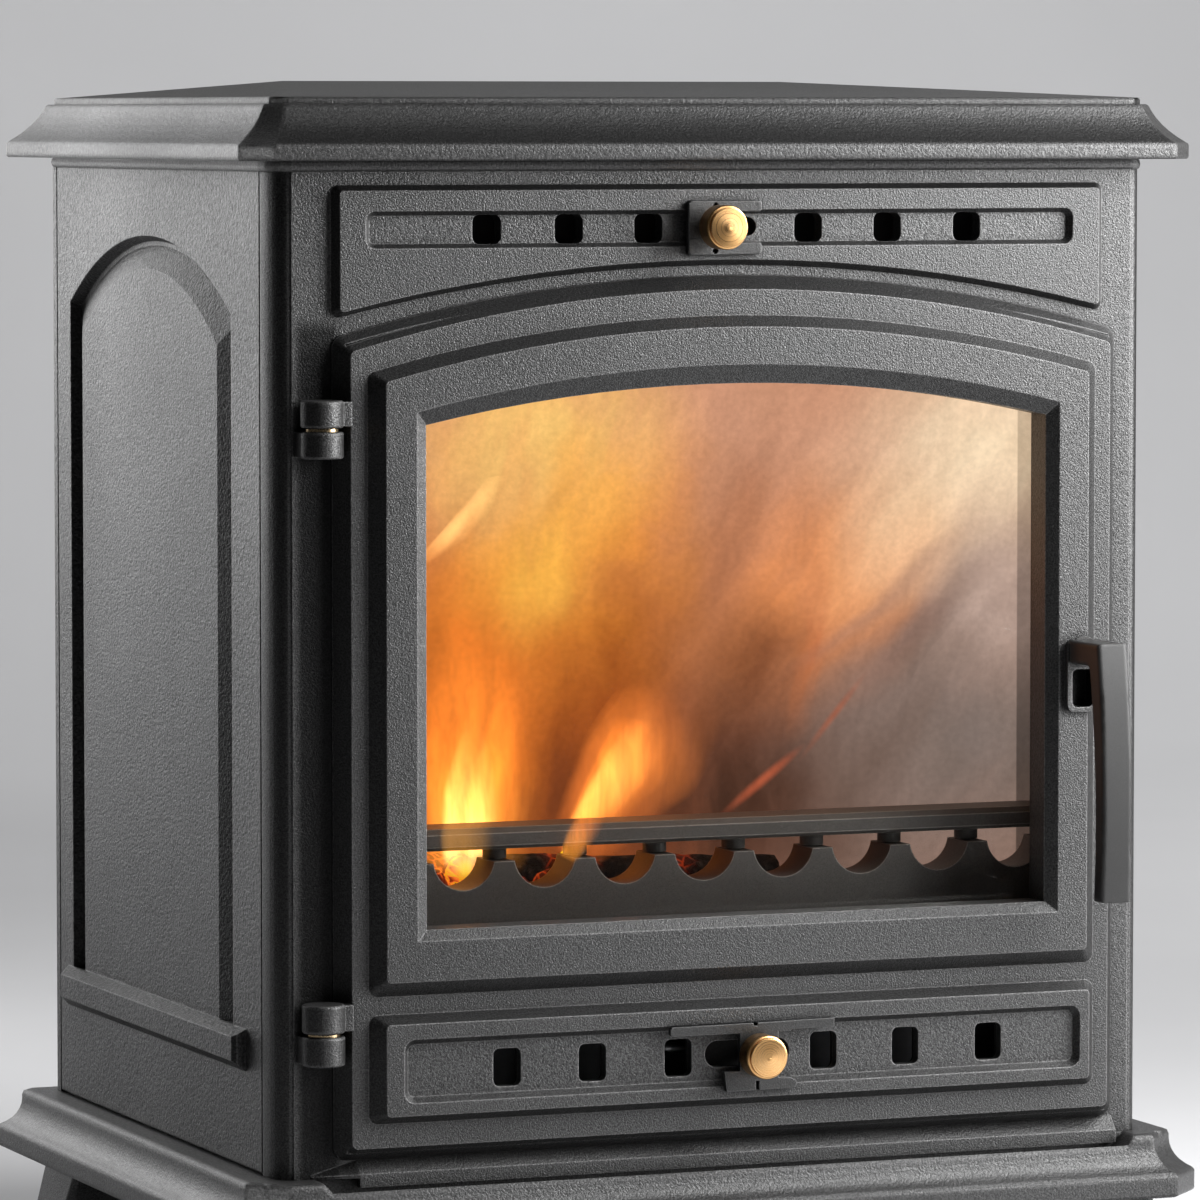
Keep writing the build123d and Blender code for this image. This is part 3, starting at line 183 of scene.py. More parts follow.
def cast_iron(name, base=(0.0168, 0.0166, 0.0166), rough=(0.33, 0.46), grain=1.0, edge=0.0009, spec=0.62, wear_and_highlight=0.9, cavity=0.85,
              size=1.0, slope_shade=0.0, along="Y", flat=(0.90, 0.97), keep_cants=False, up_rough=0.0, painted_shadow_boxes=None, speckle=0.5):
    """matt stove paint over sand-cast grain; the edges are lightened as worn paint and as a painted highlight, and the
    mouldings' sloping faces and corners are darkened as painted shade, with optional boxes of painted shadow
    """
    m = Mat(name)
    b = m.bsdf(base, 0.5, 0.0, spec)
    fine = m.noise(1150.0 * size, 2.0, 0.6, 0.3)
    mid = m.noise(600.0 * size, 2.0, 0.5, 0.6)
    broad = m.noise(38.0, 3.0, 0.55)
    wide = m.noise(7.0, 2.0, 0.5)
    h = m.math("ADD", m.math("MULTIPLY", fine.outputs["Fac"], 0.8), m.math("MULTIPLY", mid.outputs["Fac"], 0.5))
    h2 = m.math("ADD", h, m.math("MULTIPLY", broad.outputs["Fac"], 0.3))
    nb = m.bevel(edge, 3)
    geo = m.node("ShaderNodeNewGeometry")
    dot = m.node("ShaderNodeVectorMath", operation="DOT_PRODUCT")
    m.link(nb, dot.inputs[0])
    m.link(geo.outputs["Normal"], dot.inputs[1])
    ao = m.node("ShaderNodeAmbientOcclusion", samples=2)
    ao.inputs["Distance"].default_value = 0.005
    occ = ao.outputs["AO"]
    edge_wear_highlight = m.math("MULTIPLY", m.rng(dot.outputs["Value"], 0.996, 0.962, 0.0, 1.0), m.rng(occ, 0.72, 0.92, 0.0, 1.0))
    col = m.mix(m.rng(fine.outputs["Fac"], 0.36, 0.66, 0.0, 1.0), tuple(c * (1 - speckle) for c in base),
                tuple(c * (1 + 1.1 * speckle) for c in base))
    col = m.mix(m.rng(broad.outputs["Fac"], 0.3, 0.7, 0.0, 0.35), col, tuple(c * 0.85 for c in base))
    # painted shade: corners and creases found by ambient occlusion get a darker base colour
    shade = m.rng(occ, 0.25, 0.95, cavity, 0.0)
    # painted shade: sloping faces are darkened by the way they face
    if slope_shade:
        sn = m.node("ShaderNodeSeparateXYZ")
        m.link(geo.outputs["True Normal"], sn.inputs[0])
        ay = m.math("ABSOLUTE", sn.outputs[along])
        band = m.math("MULTIPLY", m.rng(ay, 0.15, 0.40, 0.0, 1.0, smooth=True), m.rng(ay, flat[0], flat[1], 1.0, 0.0, smooth=True))
        if keep_cants:
            band = m.math("MULTIPLY", band, m.rng(m.math("ABSOLUTE", sn.outputs["X"]), 0.1, 0.3, 1.0, 0.0))
        shade = m.math("MAXIMUM", shade, m.math("MULTIPLY", band, slope_shade))
    # painted shadow: inside the listed boxes in object space the colour is darkened like a cast shadow
    if painted_shadow_boxes:
        sp = m.node("ShaderNodeSeparateXYZ")
        m.link(m.co.outputs["Object"], sp.inputs[0])
        box = None
        for axis, lo, hi, soft in painted_shadow_boxes:
            o = sp.outputs[axis]
            inside = m.math("MULTIPLY", m.rng(o, lo - soft, lo, 0.0, 1.0, smooth=True), m.rng(o, hi, hi + soft, 1.0, 0.0, smooth=True))
            box = inside if box is None else m.math("MULTIPLY", box, inside)
        shade = m.math("MAXIMUM", shade, m.math("MULTIPLY", box, 0.96))
    # worn paint and a painted highlight: convex edges get a much lighter base colour
    edge_wear_highlight = m.math("MULTIPLY", edge_wear_highlight, m.rng(fine.outputs["Fac"], 0.3, 0.6, 0.35 * wear_and_highlight, wear_and_highlight))
    col = m.mix(shade, col, tuple(c * 0.12 for c in base))
    col = m.mix(edge_wear_highlight, col, tuple(c * 10.0 for c in base))
    m.link(col, b.inputs["Base Color"])
    # under the painted shade the specular level drops too; on the edges it rises with the painted highlight
    sheen = m.math("MULTIPLY", m.rng(shade, 0.0, 1.0, spec, spec * 0.22), m.rng(fine.outputs["Fac"], 0.34, 0.66, 1.0 - 0.8 * speckle, 1.0 + 0.8 * speckle))
    m.link(m.math("MAXIMUM", sheen, m.math("MULTIPLY", edge_wear_highlight, 1.25 * spec)), b.inputs["Specular IOR Level"])
    r = m.rng(m.math("ADD", m.math("MULTIPLY", mid.outputs["Fac"], 0.6), m.math("MULTIPLY", wide.outputs["Fac"], 0.4)),
              0.35, 0.65, rough[0], rough[1])
    if up_rough:        # the flat top is duller than its edges, from heat and wiping
        un = m.node("ShaderNodeSeparateXYZ")
        m.link(geo.outputs["True Normal"], un.inputs[0])
        r = m.math("MAXIMUM", r, m.rng(un.outputs["Z"], 0.93, 0.985, 0.0, up_rough))
    m.link(r, b.inputs["Roughness"])
    m.link(m.bump(h2, min(1.0, 0.8 * grain), 0.0005 / size, nb), b.inputs["Normal"])
    return m.m


def plain_metal(name, base, rough, metal=1.0, edge=0.0004, scale=900.0, strength=0.12, spec=0.5):
    m = Mat(name)
    b = m.bsdf(base, rough, metal, spec)
    n = m.noise(scale, 3.0, 0.6)
    n2 = m.noise(60.0, 3.0, 0.6)
    col = m.mix(m.rng(n2.outputs["Fac"], 0.3, 0.7, 0.0, 1.0), tuple(c * 0.85 for c in base), tuple(min(1.0, c * 1.1) for c in base))
    m.link(col, b.inputs["Base Color"])
    m.link(m.rng(n.outputs["Fac"], 0.3, 0.7, rough * 0.82, min(1.0, rough * 1.25)), b.inputs["Roughness"])
    m.link(m.bump(n.outputs["Fac"], strength, 0.0002, m.bevel(edge) if edge else None), b.inputs["Normal"])
    return m.m


def brass_turned(name, cx, cz):
    """turned brass: fine concentric tool marks about the knob's axis, with a sheen across them"""
    m = Mat(name)
    b = m.bsdf((0.66, 0.38, 0.16), 0.30, 1.0)
    b.inputs["Anisotropic"].default_value = 0.45
    tan = m.node("ShaderNodeTangent", direction_type="RADIAL", axis="Y")
    m.link(tan.outputs[0], b.inputs["Tangent"])
    sep = m.node("ShaderNodeSeparateXYZ")
    m.link(m.co.outputs["Object"], sep.inputs[0])
    dx = m.math("SUBTRACT", sep.outputs["X"], cx)
    dz = m.math("SUBTRACT", sep.outputs["Z"], cz)
    r = m.math("SQRT", m.math("ADD", m.math("MULTIPLY", dx, dx), m.math("MULTIPLY", dz, dz)))
    comb = m.node("ShaderNodeCombineXYZ")
    m.link(r, comb.inputs[0])
    m.link(sep.outputs["Y"], comb.inputs[1])
    rings = m.noise(2600.0, 2.0, 0.6, 0.0, comb.outputs[0])
    cloud = m.noise(120.0, 2.0, 0.5)
    col = m.mix(m.rng(cloud.outputs["Fac"], 0.3, 0.7, 0.0, 1.0), (0.64, 0.36, 0.14), (0.70, 0.415, 0.185))
    col = m.mix(m.rng(rings.outputs["Fac"], 0.35, 0.65, 0.0, 0.1), col, (0.50, 0.26, 0.085))
    m.link(col, b.inputs["Base Color"])
    m.link(m.rng(rings.outputs["Fac"], 0.3, 0.7, 0.25, 0.36), b.inputs["Roughness"])
    m.link(m.bump(rings.outputs["Fac"], 0.05, 0.00003, m.bevel(0.0005)), b.inputs["Normal"])
    return m.m


# painted shadow: a dark band on the front casting left of the door, where the door's shadow falls
M_FRONT = cast_iron("iron_front", slope_shade=0.5, edge=0.0011,
                    painted_shadow_boxes=(("X", -0.2345, -0.2185, 0.007), ("Y", Y(-3), Y(20), 0.001), ("Z", Z(-528), Z(-84), 0.012)))
M_SIDE = cast_iron("iron_side", grain=1.1, edge=0.0012, wear_and_highlight=0.7, slope_shade=0.7, along="X", flat=(0.965, 0.99), speckle=0.5, size=0.6)
M_TOP = cast_iron("iron_top", up_rough=0.72, grain=0.65, slope_shade=0.6, keep_cants=True, edge=0.0042, wear_and_highlight=0.12, speckle=0.4, size=0.75)
M_PLINTH = cast_iron("iron_plinth", grain=0.65, slope_shade=0.45, keep_cants=True, edge=0.0042, wear_and_highlight=0.12, speckle=0.4, size=0.75)
M_LEG = cast_iron("iron_leg", grain=0.8)
# painted shade: a small dark patch on the door just below the handle's boss
M_DOOR = cast_iron("iron_door", slope_shade=0.5, edge=0.0011, painted_shadow_boxes=(("X", 0.1945, 0.2095, 0.0006), ("Y", Y(-21.5), Y(-10), 0.0006), ("Z", Z(-289.5), Z(-267.0), 0.0006)))
M_INNER = cast_iron("iron_inner", base=(0.028, 0.026, 0.025), rough=(0.55, 0.8), grain=0.8, wear_and_highlight=0.3)
M_GUARD = cast_iron("iron_guard", base=(0.105, 0.102, 0.098), rough=(0.42, 0.58), grain=0.35, wear_and_highlight=0.7, size=1.5, speckle=0.25)
M_SLIDE = cast_iron("slide_plate", base=(0.012, 0.012, 0.012), rough=(0.34, 0.42), grain=0.6, edge=0.0008, wear_and_highlight=0.9, size=1.2, speckle=0.35)
M_GRIP = cast_iron("handle_iron", base=(0.014, 0.0138, 0.0136), rough=(0.34, 0.44), grain=0.12, edge=0.0022, spec=0.5, wear_and_highlight=0.05, size=1.8, speckle=0.12)
M_HINGE = cast_iron("hinge_iron", base=(0.022, 0.0215, 0.021), rough=(0.32, 0.46), grain=0.4, edge=0.0009, size=1.6)
M_STEEL = plain_metal("zinc_steel", (0.42, 0.42, 0.43), 0.38)
M_DARK = plain_metal("blackened_steel", (0.045, 0.044, 0.043), 0.42, 0.4)
# painted shade: near black and dull, so the vent holes and the slot in front of these parts read as deep shade
M_SHADE_BLACK = plain_metal("shade_black_sheet", (0.012, 0.0115, 0.011), 0.85, 0.0, spec=0.15)
M_SHEET = plain_metal("sheet_steel", (0.10, 0.10, 0.105), 0.5, 0.6)
M_BRASS_UP = brass_turned("brass_upper", -0.0085, Z(-29.6))
M_BRASS_LO = brass_turned("brass_lower", 0.011, Z(-466.6))
M_WASHER = plain_metal("brass_washer", (0.66, 0.50, 0.30), 0.25, 1.0)


def firebrick():
    m = Mat("firebrick")
    b = m.bsdf((0.3, 0.25, 0.2), 0.9)
    v = m.voronoi(260.0)
    n = m.noise(90.0, 5.0, 0.6)
    soot = m.noise(9.0, 3.0, 0.6, 0.5)
    col = m.mix(m.rng(n.outputs["Fac"], 0.3, 0.7, 0.0, 1.0), (0.26, 0.20, 0.15), (0.42, 0.34, 0.26))
    col = m.mix(m.rng(soot.outputs["Fac"], 0.35, 0.62, 0.0, 0.92), col, (0.03, 0.027, 0.025))
    m.link(col, b.inputs["Base Color"])
    h = m.math("ADD", n.outputs["Fac"], m.math("MULTIPLY", v.outputs["Distance"], 0.5))
    m.link(m.bump(h, 0.8, 0.001, m.bevel(0.001)), b.inputs["Normal"])
    return m.m


def rope():
    m = Mat("rope_seal")
    b = m.bsdf((0.09, 0.085, 0.08), 0.95)
    w = m.node("ShaderNodeTexWave", wave_type="BANDS", bands_direction="DIAGONAL")
    w.inputs["Scale"].default_value = 140.0
    w.inputs["Distortion"].default_value = 1.5
    m.link(m.co.outputs["Object"], w.inputs["Vector"])
    n = m.noise(900.0, 2.0, 0.6)
    col = m.mix(w.outputs["Fac"], (0.05, 0.048, 0.046), (0.15, 0.145, 0.14))
    m.link(col, b.inputs["Base Color"])
    m.link(m.bump(m.math("ADD", w.outputs["Fac"], n.outputs["Fac"]), 0.8, 0.0008), b.inputs["Normal"])
    return m.m


M_BRICK = firebrick()
M_ROPE = rope()


def glass():
    """thin clear pane: mostly straight through, a faint reflection and a light smeared film of soot over it"""
    m = Mat("stove_glass")
    tr = m.node("ShaderNodeBsdfTransparent")
    smear = m.noise(22.0, 3.0, 0.6, 0.6)
    m.link(m.mix(m.rng(smear.outputs["Fac"], 0.35, 0.7, 0.0, 1.0), (0.97, 0.965, 0.955), (0.93, 0.92, 0.90)), tr.inputs["Color"])
    gl = m.node("ShaderNodeBsdfGlossy")
    gl.inputs["Color"].default_value = (1.0, 1.0, 1.0, 1.0)
    m.link(m.rng(smear.outputs["Fac"], 0.3, 0.7, 0.015, 0.05), gl.inputs["Roughness"])
    m.link(m.bump(m.noise(14.0, 2.0, 0.5).outputs["Fac"], 0.05, 0.0004), gl.inputs["Normal"])
    fr = m.node("ShaderNodeFresnel")
    fr.inputs["IOR"].default_value = 1.45
    mix = m.node("ShaderNodeMixShader")
    m.link(m.math("MULTIPLY", fr.outputs[0], 0.8), mix.inputs[0])
    m.link(tr.outputs[0], mix.inputs[1])
    m.link(gl.outputs[0], mix.inputs[2])
    m.link(mix.outputs[0], m.out.inputs["Surface"])
    return m.m


M_GLASS = glass()

MATS = {
    "base_plinth": M_PLINTH, "top_plate": M_TOP, "front_frame": M_FRONT,
    "side_panel_left": M_SIDE, "side_panel_right": M_SIDE, "back_panel": M_SIDE,
    "leg_front_left": M_LEG, "leg_front_right": M_LEG, "leg_rear_left": M_LEG, "leg_rear_right": M_LEG,
    "flue_collar": M_TOP, "door": M_DOOR,
    "firebox_floor": M_INNER, "grate": M_INNER, "log_guard": M_GUARD, "baffle_plate": M_INNER,
    "ash_side_plates": M_SHEET, "ash_floor": M_SHEET, "ash_pan": M_SHEET, "ash_pan_handle": M_STEEL,
    "air_wash_plate": M_SHEET, "upper_air_guides": M_SHADE_BLACK, "lower_air_guides": M_SHADE_BLACK,
    "upper_air_shutter": M_SLIDE, "lower_air_shutter": M_SHADE_BLACK,
    "handle_bush": M_DARK, "handle_spindle": M_DARK, "upper_air_stud": M_DARK, "lower_air_stud": M_DARK,
    "firebrick_left": M_BRICK, "firebrick_right": M_BRICK, "firebrick_rear": M_BRICK,
    "door_glass": M_GLASS, "door_seal": M_ROPE, "glass_gasket": M_ROPE,
    "handle_grip": M_GRIP, "hinge_pins": M_DARK, "upper_air_slide_plate": M_SLIDE, "lower_air_slide_plate": M_SLIDE,
    "upper_air_knob": M_BRASS_UP, "lower_air_knob": M_BRASS_LO, "hinge_washers": M_WASHER,
}
for name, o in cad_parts.items():
    mat = MATS.get(name, M_STEEL)
    if not o.material_slots:
        o.data.materials.append(mat)
    for s in o.material_slots:
        s.material = mat

# ------------------------------------------------------------------
# fire: glowing haze, flame tongues, coals and charred logs on the grate
# ------------------------------------------------------------------
def glass_point(x, z, y):
    """a point at depth y that is seen through the glass at x, z from the stove's front left"""
    return Vector(((x + (y - 6.0) * 0.425) / 1000.0, Y(y), Z(z - (y - 6.0) * 0.075)))


def new_mesh(name, verts, faces, uvs=None, smooth=True, body="root", slot=None):
    me = bpy.data.meshes.new(name)
    me.from_pydata([tuple(v) for v in verts], [], faces)
    if uvs is not None:
        layer = me.uv_layers.new(name="UVMap")
        for poly in me.polygons:
            for li in poly.loop_indices:
                layer.data[li].uv = uvs[me.loops[li].vertex_index]
    for poly in me.polygons:
        poly.use_smooth = smooth
    me.update()
    o = bpy.data.objects.new(name, me)
    scene.collection.objects.link(o)
    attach(o, body)
    return o


def haze_depth(x, z):
    """depth of the haze at x, z: it comes forward at the right brick and under the baffle"""
    d = 132.0 + 5.0 * math.sin(x * 0.031 + z * 0.012) + 3.0 * math.sin(x * 0.012 - z * 0.043)
    kx = min(1.0, max(0.0, (x - 60.0) / 145.0))
    kx = kx * kx * (3 - 2 * kx)
    kz = min(1.0, max(0.0, (z + 205.0) / 75.0))
    kz = kz * kz * (3 - 2 * kz)
    return d + (68.0 - d) * (1 - (1 - kx) * (1 - kz))


def haze_material():
    m = Mat("fire_haze")
    em = m.node("ShaderNodeEmission")
    uv = m.co.outputs["UV"]
    warp = m.noise(1.1, 3.0, 0.5, 0.0, uv)
    sub = m.node("ShaderNodeVectorMath", operation="SUBTRACT")
    m.link(warp.outputs["Color"], sub.inputs[0])
    sub.inputs[1].default_value = (0.5, 0.5, 0.5)
    sc = m.node("ShaderNodeVectorMath", operation="SCALE")
    m.link(sub.outputs[0], sc.inputs[0])
    sc.inputs["Scale"].default_value = 0.42
    add = m.node("ShaderNodeVectorMath", operation="ADD")
    m.link(uv, add.inputs[0])
    m.link(sc.outputs[0], add.inputs[1])
    wuv = add.outputs[0]

    def blob(cx, cy, rx, ry, rot=0.0, vec=None, soft=True):
        mp = m.node("ShaderNodeMapping", vector_type="TEXTURE")
        mp.inputs["Location"].default_value = (cx, cy, 0.0)
        mp.inputs["Rotation"].default_value = (0.0, 0.0, math.radians(rot))
        mp.inputs["Scale"].default_value = (rx, ry, 1.0)
        m.link(vec if vec is not None else wuv, mp.inputs["Vector"])
        flat = m.node("ShaderNodeVectorMath", operation="MULTIPLY")
        m.link(mp.outputs[0], flat.inputs[0])
        flat.inputs[1].default_value = (1.0, 1.0, 0.0)
        g = m.node("ShaderNodeTexGradient", gradient_type="SPHERICAL")
        m.link(flat.outputs[0], g.inputs["Vector"])
        return m.rng(g.outputs["Fac"], 0.0, 1.0, 0.0, 1.0, smooth=True) if soft else g.outputs["Fac"]

    def streaks(rot, sx, sy, lo, hi, seed):
        mp = m.node("ShaderNodeMapping", vector_type="TEXTURE")
        mp.inputs["Location"].default_value = (seed, seed * 0.7, 0.0)
        mp.inputs["Rotation"].default_value = (0.0, 0.0, math.radians(rot))
        mp.inputs["Scale"].default_value = (sx, sy, 1.0)
        m.link(wuv, mp.inputs["Vector"])
        n = m.noise(1.0, 3.0, 0.55, 0.3, mp.outputs[0])
        return m.rng(n.outputs["Fac"], lo, hi, 0.0, 1.0, smooth=True)

    sep = m.node("ShaderNodeSeparateXYZ")
    m.link(wuv, sep.inputs[0])
    ux, uy = sep.outputs["X"], sep.outputs["Y"]
    up = streaks(-6.0, 0.22, 0.95, 0.36, 0.66, 3.1)          # rising streaks at the left
    right = streaks(-42.0, 0.26, 1.1, 0.36, 0.66, 7.7)       # streaks leaning right
    cloud = m.rng(m.noise(1.9, 4.0, 0.55, 0.0, wuv).outputs["Fac"], 0.36, 0.64, 0.0, 1.0, smooth=True)

    raw_uv = uv

    def times(a, b):
        return m.math("MULTIPLY", a, b)

    def gain(f, a, b):
        return m.rng(f, 0.0, 1.0, a, b)

    col = m.mix(m.rng(ux, -0.7, 0.9, 0.0, 1.0, smooth=True), (0.36, 0.080, 0.015), (0.255, 0.165, 0.132))
    col = m.mix(m.rng(uy, 0.15, 1.3, 0.0, 0.95, smooth=True), col, (0.66, 0.33, 0.205))
    # dark foot of the fire, then grey smoke at the lower right
    col = m.mix(times(blob(0.10, -0.80, 1.35, 1.25), gain(up, 1.0, 0.8)), col, (0.066, 0.028, 0.017))
    col = m.mix(times(blob(1.55, -0.5, 1.3, 0.8), gain(right, 0.95, 0.75)), col, (0.215, 0.165, 0.145))
    # left mass
    col = m.mix(times(blob(-1.0, 0.72, 1.35, 1.35, 0.0), gain(cloud, 1.0, 0.6)), col, (0.93, 0.33, 0.045))
    col = m.mix(times(blob(-1.55, -0.3, 0.85, 1.5, -4.0), gain(up, 0.6, 0.95)), col, (0.84, 0.215, 0.028))
    col = m.mix(times(blob(-1.05, 1.2, 1.15, 0.75, 14.0), gain(up, 1.0, 0.65)), col, (0.99, 0.60, 0.19))
    col = m.mix(times(blob(-1.02, 0.52, 0.62, 0.46, 35.0), gain(up, 0.5, 0.95)), col, (0.99, 0.50, 0.08))
    col = m.mix(times(blob(-0.72, 0.95, 0.5, 0.45, 0.0), gain(cloud, 0.85, 0.4)), col, (0.99, 0.47, 0.10))
    col = m.mix(times(blob(-0.72, -0.22, 0.62, 0.55, 10.0), gain(up, 0.85, 0.45)), col, (0.33, 0.07, 0.013))
    col = m.mix(times(blob(-1.0, -0.72, 0.35, 0.62, -6.0), gain(up, 0.95, 0.6)), col, (0.17, 0.042, 0.013))
    # right mass and its streaks
    col = m.mix(times(blob(0.58, 0.40, 1.15, 0.80, 32.0), gain(right, 1.0, 0.72)), col, (0.90, 0.32, 0.105))
    col = m.mix(times(blob(0.52, 0.08, 0.34, 0.62, -12.0), gain(up, 0.85, 0.2)), col, (0.62, 0.19, 0.07))
    col = m.mix(times(blob(1.12, 0.66, 0.98, 0.42, 36.0), gain(right, 1.0, 0.5)), col, (0.95, 0.50, 0.26))
    col = m.mix(times(blob(1.62, 1.15, 1.25, 0.95, 20.0), gain(right, 1.0, 0.85)), col, (1.0, 0.80, 0.56))
    col = m.mix(times(blob(1.72, 0.30, 0.62, 0.80, 0.0), gain(cloud, 0.95, 0.7)), col, (0.55, 0.40, 0.34))
    # dark trails of smoke over the right half
    col = m.mix(times(blob(1.14, 0.07, 0.78, 0.15, 40.0), gain(right, 0.85, 0.6)), col, (0.25, 0.155, 0.125))
    col = m.mix(times(blob(0.98, 0.30, 0.95, 0.10, 37.0), 0.45), col, (0.33, 0.20, 0.16))
    col = m.mix(times(blob(0.08, 0.62, 0.28, 0.9, -20.0), gain(cloud, 0.75, 0.4)), col, (0.42, 0.165, 0.085))
    col = m.mix(times(blob(0.92, -0.60, 0.75, 0.24, 40.0), 0.6), col, (0.165, 0.105, 0.083))
    # thin red rim of the smoke
    col = m.mix(times(blob(0.27, -0.68, 0.36, 0.042, 37.0, raw_uv), gain(right, 0.95, 0.6)), col, (0.58, 0.125, 0.055))
    col = m.mix(times(blob(0.70, -0.33, 0.36, 0.032, 50.0, raw_uv), gain(right, 0.85, 0.4)), col, (0.36, 0.110, 0.060))
    col = m.mix(times(blob(0.22, -0.10, 0.50, 0.62, -20.0), gain(cloud, 0.85, 0.55)), col, (0.17, 0.050, 0.020))
    wisps = times(m.rng(streaks(-9.0, 0.11, 1.3, 0.34, 0.68, 1.7), 0.0, 1.0, 0.965, 1.035),
                  m.rng(streaks(-40.0, 0.12, 1.5, 0.34, 0.68, 5.3), 0.0, 1.0, 0.96, 1.04))
    speck = m.rng(m.noise(26.0, 2.0, 0.6, 0.0, uv).outputs["Fac"], 0.3, 0.7, 0.93, 1.07)
    # past its edge only a painted glow of the fire on the brick's corner is left
    raw = m.node("ShaderNodeSeparateXYZ")
    m.link(uv, raw.inputs[0])
    past = m.rng(raw.outputs["X"], 1.790, 1.797, 0.0, 1.0)
    dim = m.rng(raw.outputs["Y"], -1.0, 1.2, 0.34, 0.66)
    keep = m.math("SUBTRACT", 1.0, m.math("MULTIPLY", past, m.math("SUBTRACT", 1.0, dim)))
    fin = m.node("ShaderNodeVectorMath", operation="SCALE")
    m.link(col, fin.inputs[0])
    m.link(times(times(speck, wisps), keep), fin.inputs["Scale"])
    m.link(fin.outputs[0], em.inputs["Color"])
    em.inputs["Strength"].default_value = 1.12
    m.link(em.outputs[0], m.out.inputs["Surface"])
    return m.m


def make_haze():
    nx, nz = 84, 64
    verts, uvs = [], []
    for j in range(nz + 1):
        z = -411.5 + (311.5) * j / nz
        for i in range(nx + 1):
            x = -209.0 + (205.6 + 209.0) * i / (nx - 3) if i <= nx - 3 else 205.6 + 2.0 * (i - nx + 3)
            y = haze_depth(min(x, 205.6), z) - 0.9 * max(0.0, x - 205.6)
            verts.append((x / 1000.0, Y(y), Z(z)))
            uvs.append(((x - (y - 6.0) * 0.425) / 100.0, (z + (y - 6.0) * 0.075 + 260.0) / 100.0))
    faces = [(j * (nx + 1) + i, j * (nx + 1) + i + 1, (j + 1) * (nx + 1) + i + 1, (j + 1) * (nx + 1) + i)
             for j in range(nz) for i in range(nx)]
    o = new_mesh("fire_haze", verts, faces, uvs)
    o.data.materials.append(haze_material())
    return o


def flame_material(name, low, mid, high, power=1.6, strength=1.0, foot=0.08, streak=0.5):
    """adds light like a thin flame: full where it is seen through its thickness, nothing at its rim"""
    m = Mat(name)
    lw = m.node("ShaderNodeLayerWeight")
    lw.inputs["Blend"].default_value = 0.5
    body = m.math("POWER", m.math("SUBTRACT", 1.0, lw.outputs["Facing"]), power)
    sep = m.node("ShaderNodeSeparateXYZ")
    m.link(m.co.outputs["UV"], sep.inputs[0])
    v = sep.outputs["Y"]
    fade = m.math("MULTIPLY", m.rng(v, 0.0, foot, 0.0, 1.0, smooth=True), m.rng(v, 0.35, 1.0, 1.0, 0.0, smooth=True))
    mp = m.node("ShaderNodeMapping")
    mp.inputs["Scale"].default_value = (150.0, 150.0, 26.0)
    m.link(m.co.outputs["Object"], mp.inputs["Vector"])
    n = m.noise(1.0, 3.0, 0.55, 0.4, mp.outputs[0])
    st = m.rng(n.outputs["Fac"], 0.35, 0.65, 1.0 - streak, 1.0)
    col = m.ramp(v, [(0.0, low), (0.45, mid), (1.0, high)])
    em = m.node("ShaderNodeEmission")
    m.link(col, em.inputs["Color"])
    m.link(m.math("MULTIPLY", m.math("MULTIPLY", m.math("MULTIPLY", body, fade), st), 2.0 * strength), em.inputs["Strength"])
    tr = m.node("ShaderNodeBsdfTransparent")
    ad = m.node("ShaderNodeAddShader")
    m.link(tr.outputs[0], ad.inputs[0])
    m.link(em.outputs[0], ad.inputs[1])
    m.link(ad.outputs[0], m.out.inputs["Surface"])
    return m.m


def tongue(name, line, widths, depth, mat, flat=0.55):
    """the glass side of a tapering body of flame round a curved line given as seen on the glass"""
    nl, nr = 28, 20

    def at(seq, t):
        k = t * (len(seq) - 1)
        i = min(int(k), len(seq) - 2)
        f = k - i
        p0, p1, p2, p3 = seq[max(i - 1, 0)], seq[i], seq[i + 1], seq[min(i + 2, len(seq) - 1)]
        return 0.5 * (2 * p1 + (p2 - p0) * f + (2 * p0 - 5 * p1 + 4 * p2 - p3) * f * f + (3 * p1 - p0 - 3 * p2 + p3) * f ** 3)

    xs, zs = [p[0] for p in line], [p[1] for p in line]
    verts, uvs = [], []
    for j in range(nl + 1):
        t = j / nl
        x, z, w = at(xs, t), at(zs, t), max(0.35, at(widths, t))
        e = 0.02
        dx, dz = at(xs, min(1, t + e)) - at(xs, max(0, t - e)), at(zs, min(1, t + e)) - at(zs, max(0, t - e))
        ln = math.hypot(dx, dz) or 1.0
        nx, nz = dz / ln, -dx / ln
        for i in range(nr + 1):
            a = math.pi + math.pi * i / nr
            wob = 1.0 + 0.14 * noise.noise(Vector((x * 0.05 + math.cos(a), z * 0.03, math.sin(a) * 0.8)))
            r, q = w * math.cos(a) * wob, w * flat * math.sin(a) * wob
            verts.append(glass_point(x + nx * r, z + nz * r, depth) + Vector((0, q / 1000.0, 0)))
            uvs.append((i / nr, t))
    faces = [(j * (nr + 1) + i, j * (nr + 1) + i + 1, (j + 1) * (nr + 1) + i + 1, (j + 1) * (nr + 1) + i)
             for j in range(nl) for i in range(nr)]
    o = new_mesh(name, verts, faces, uvs)
    o.data.materials.append(mat)
    return o


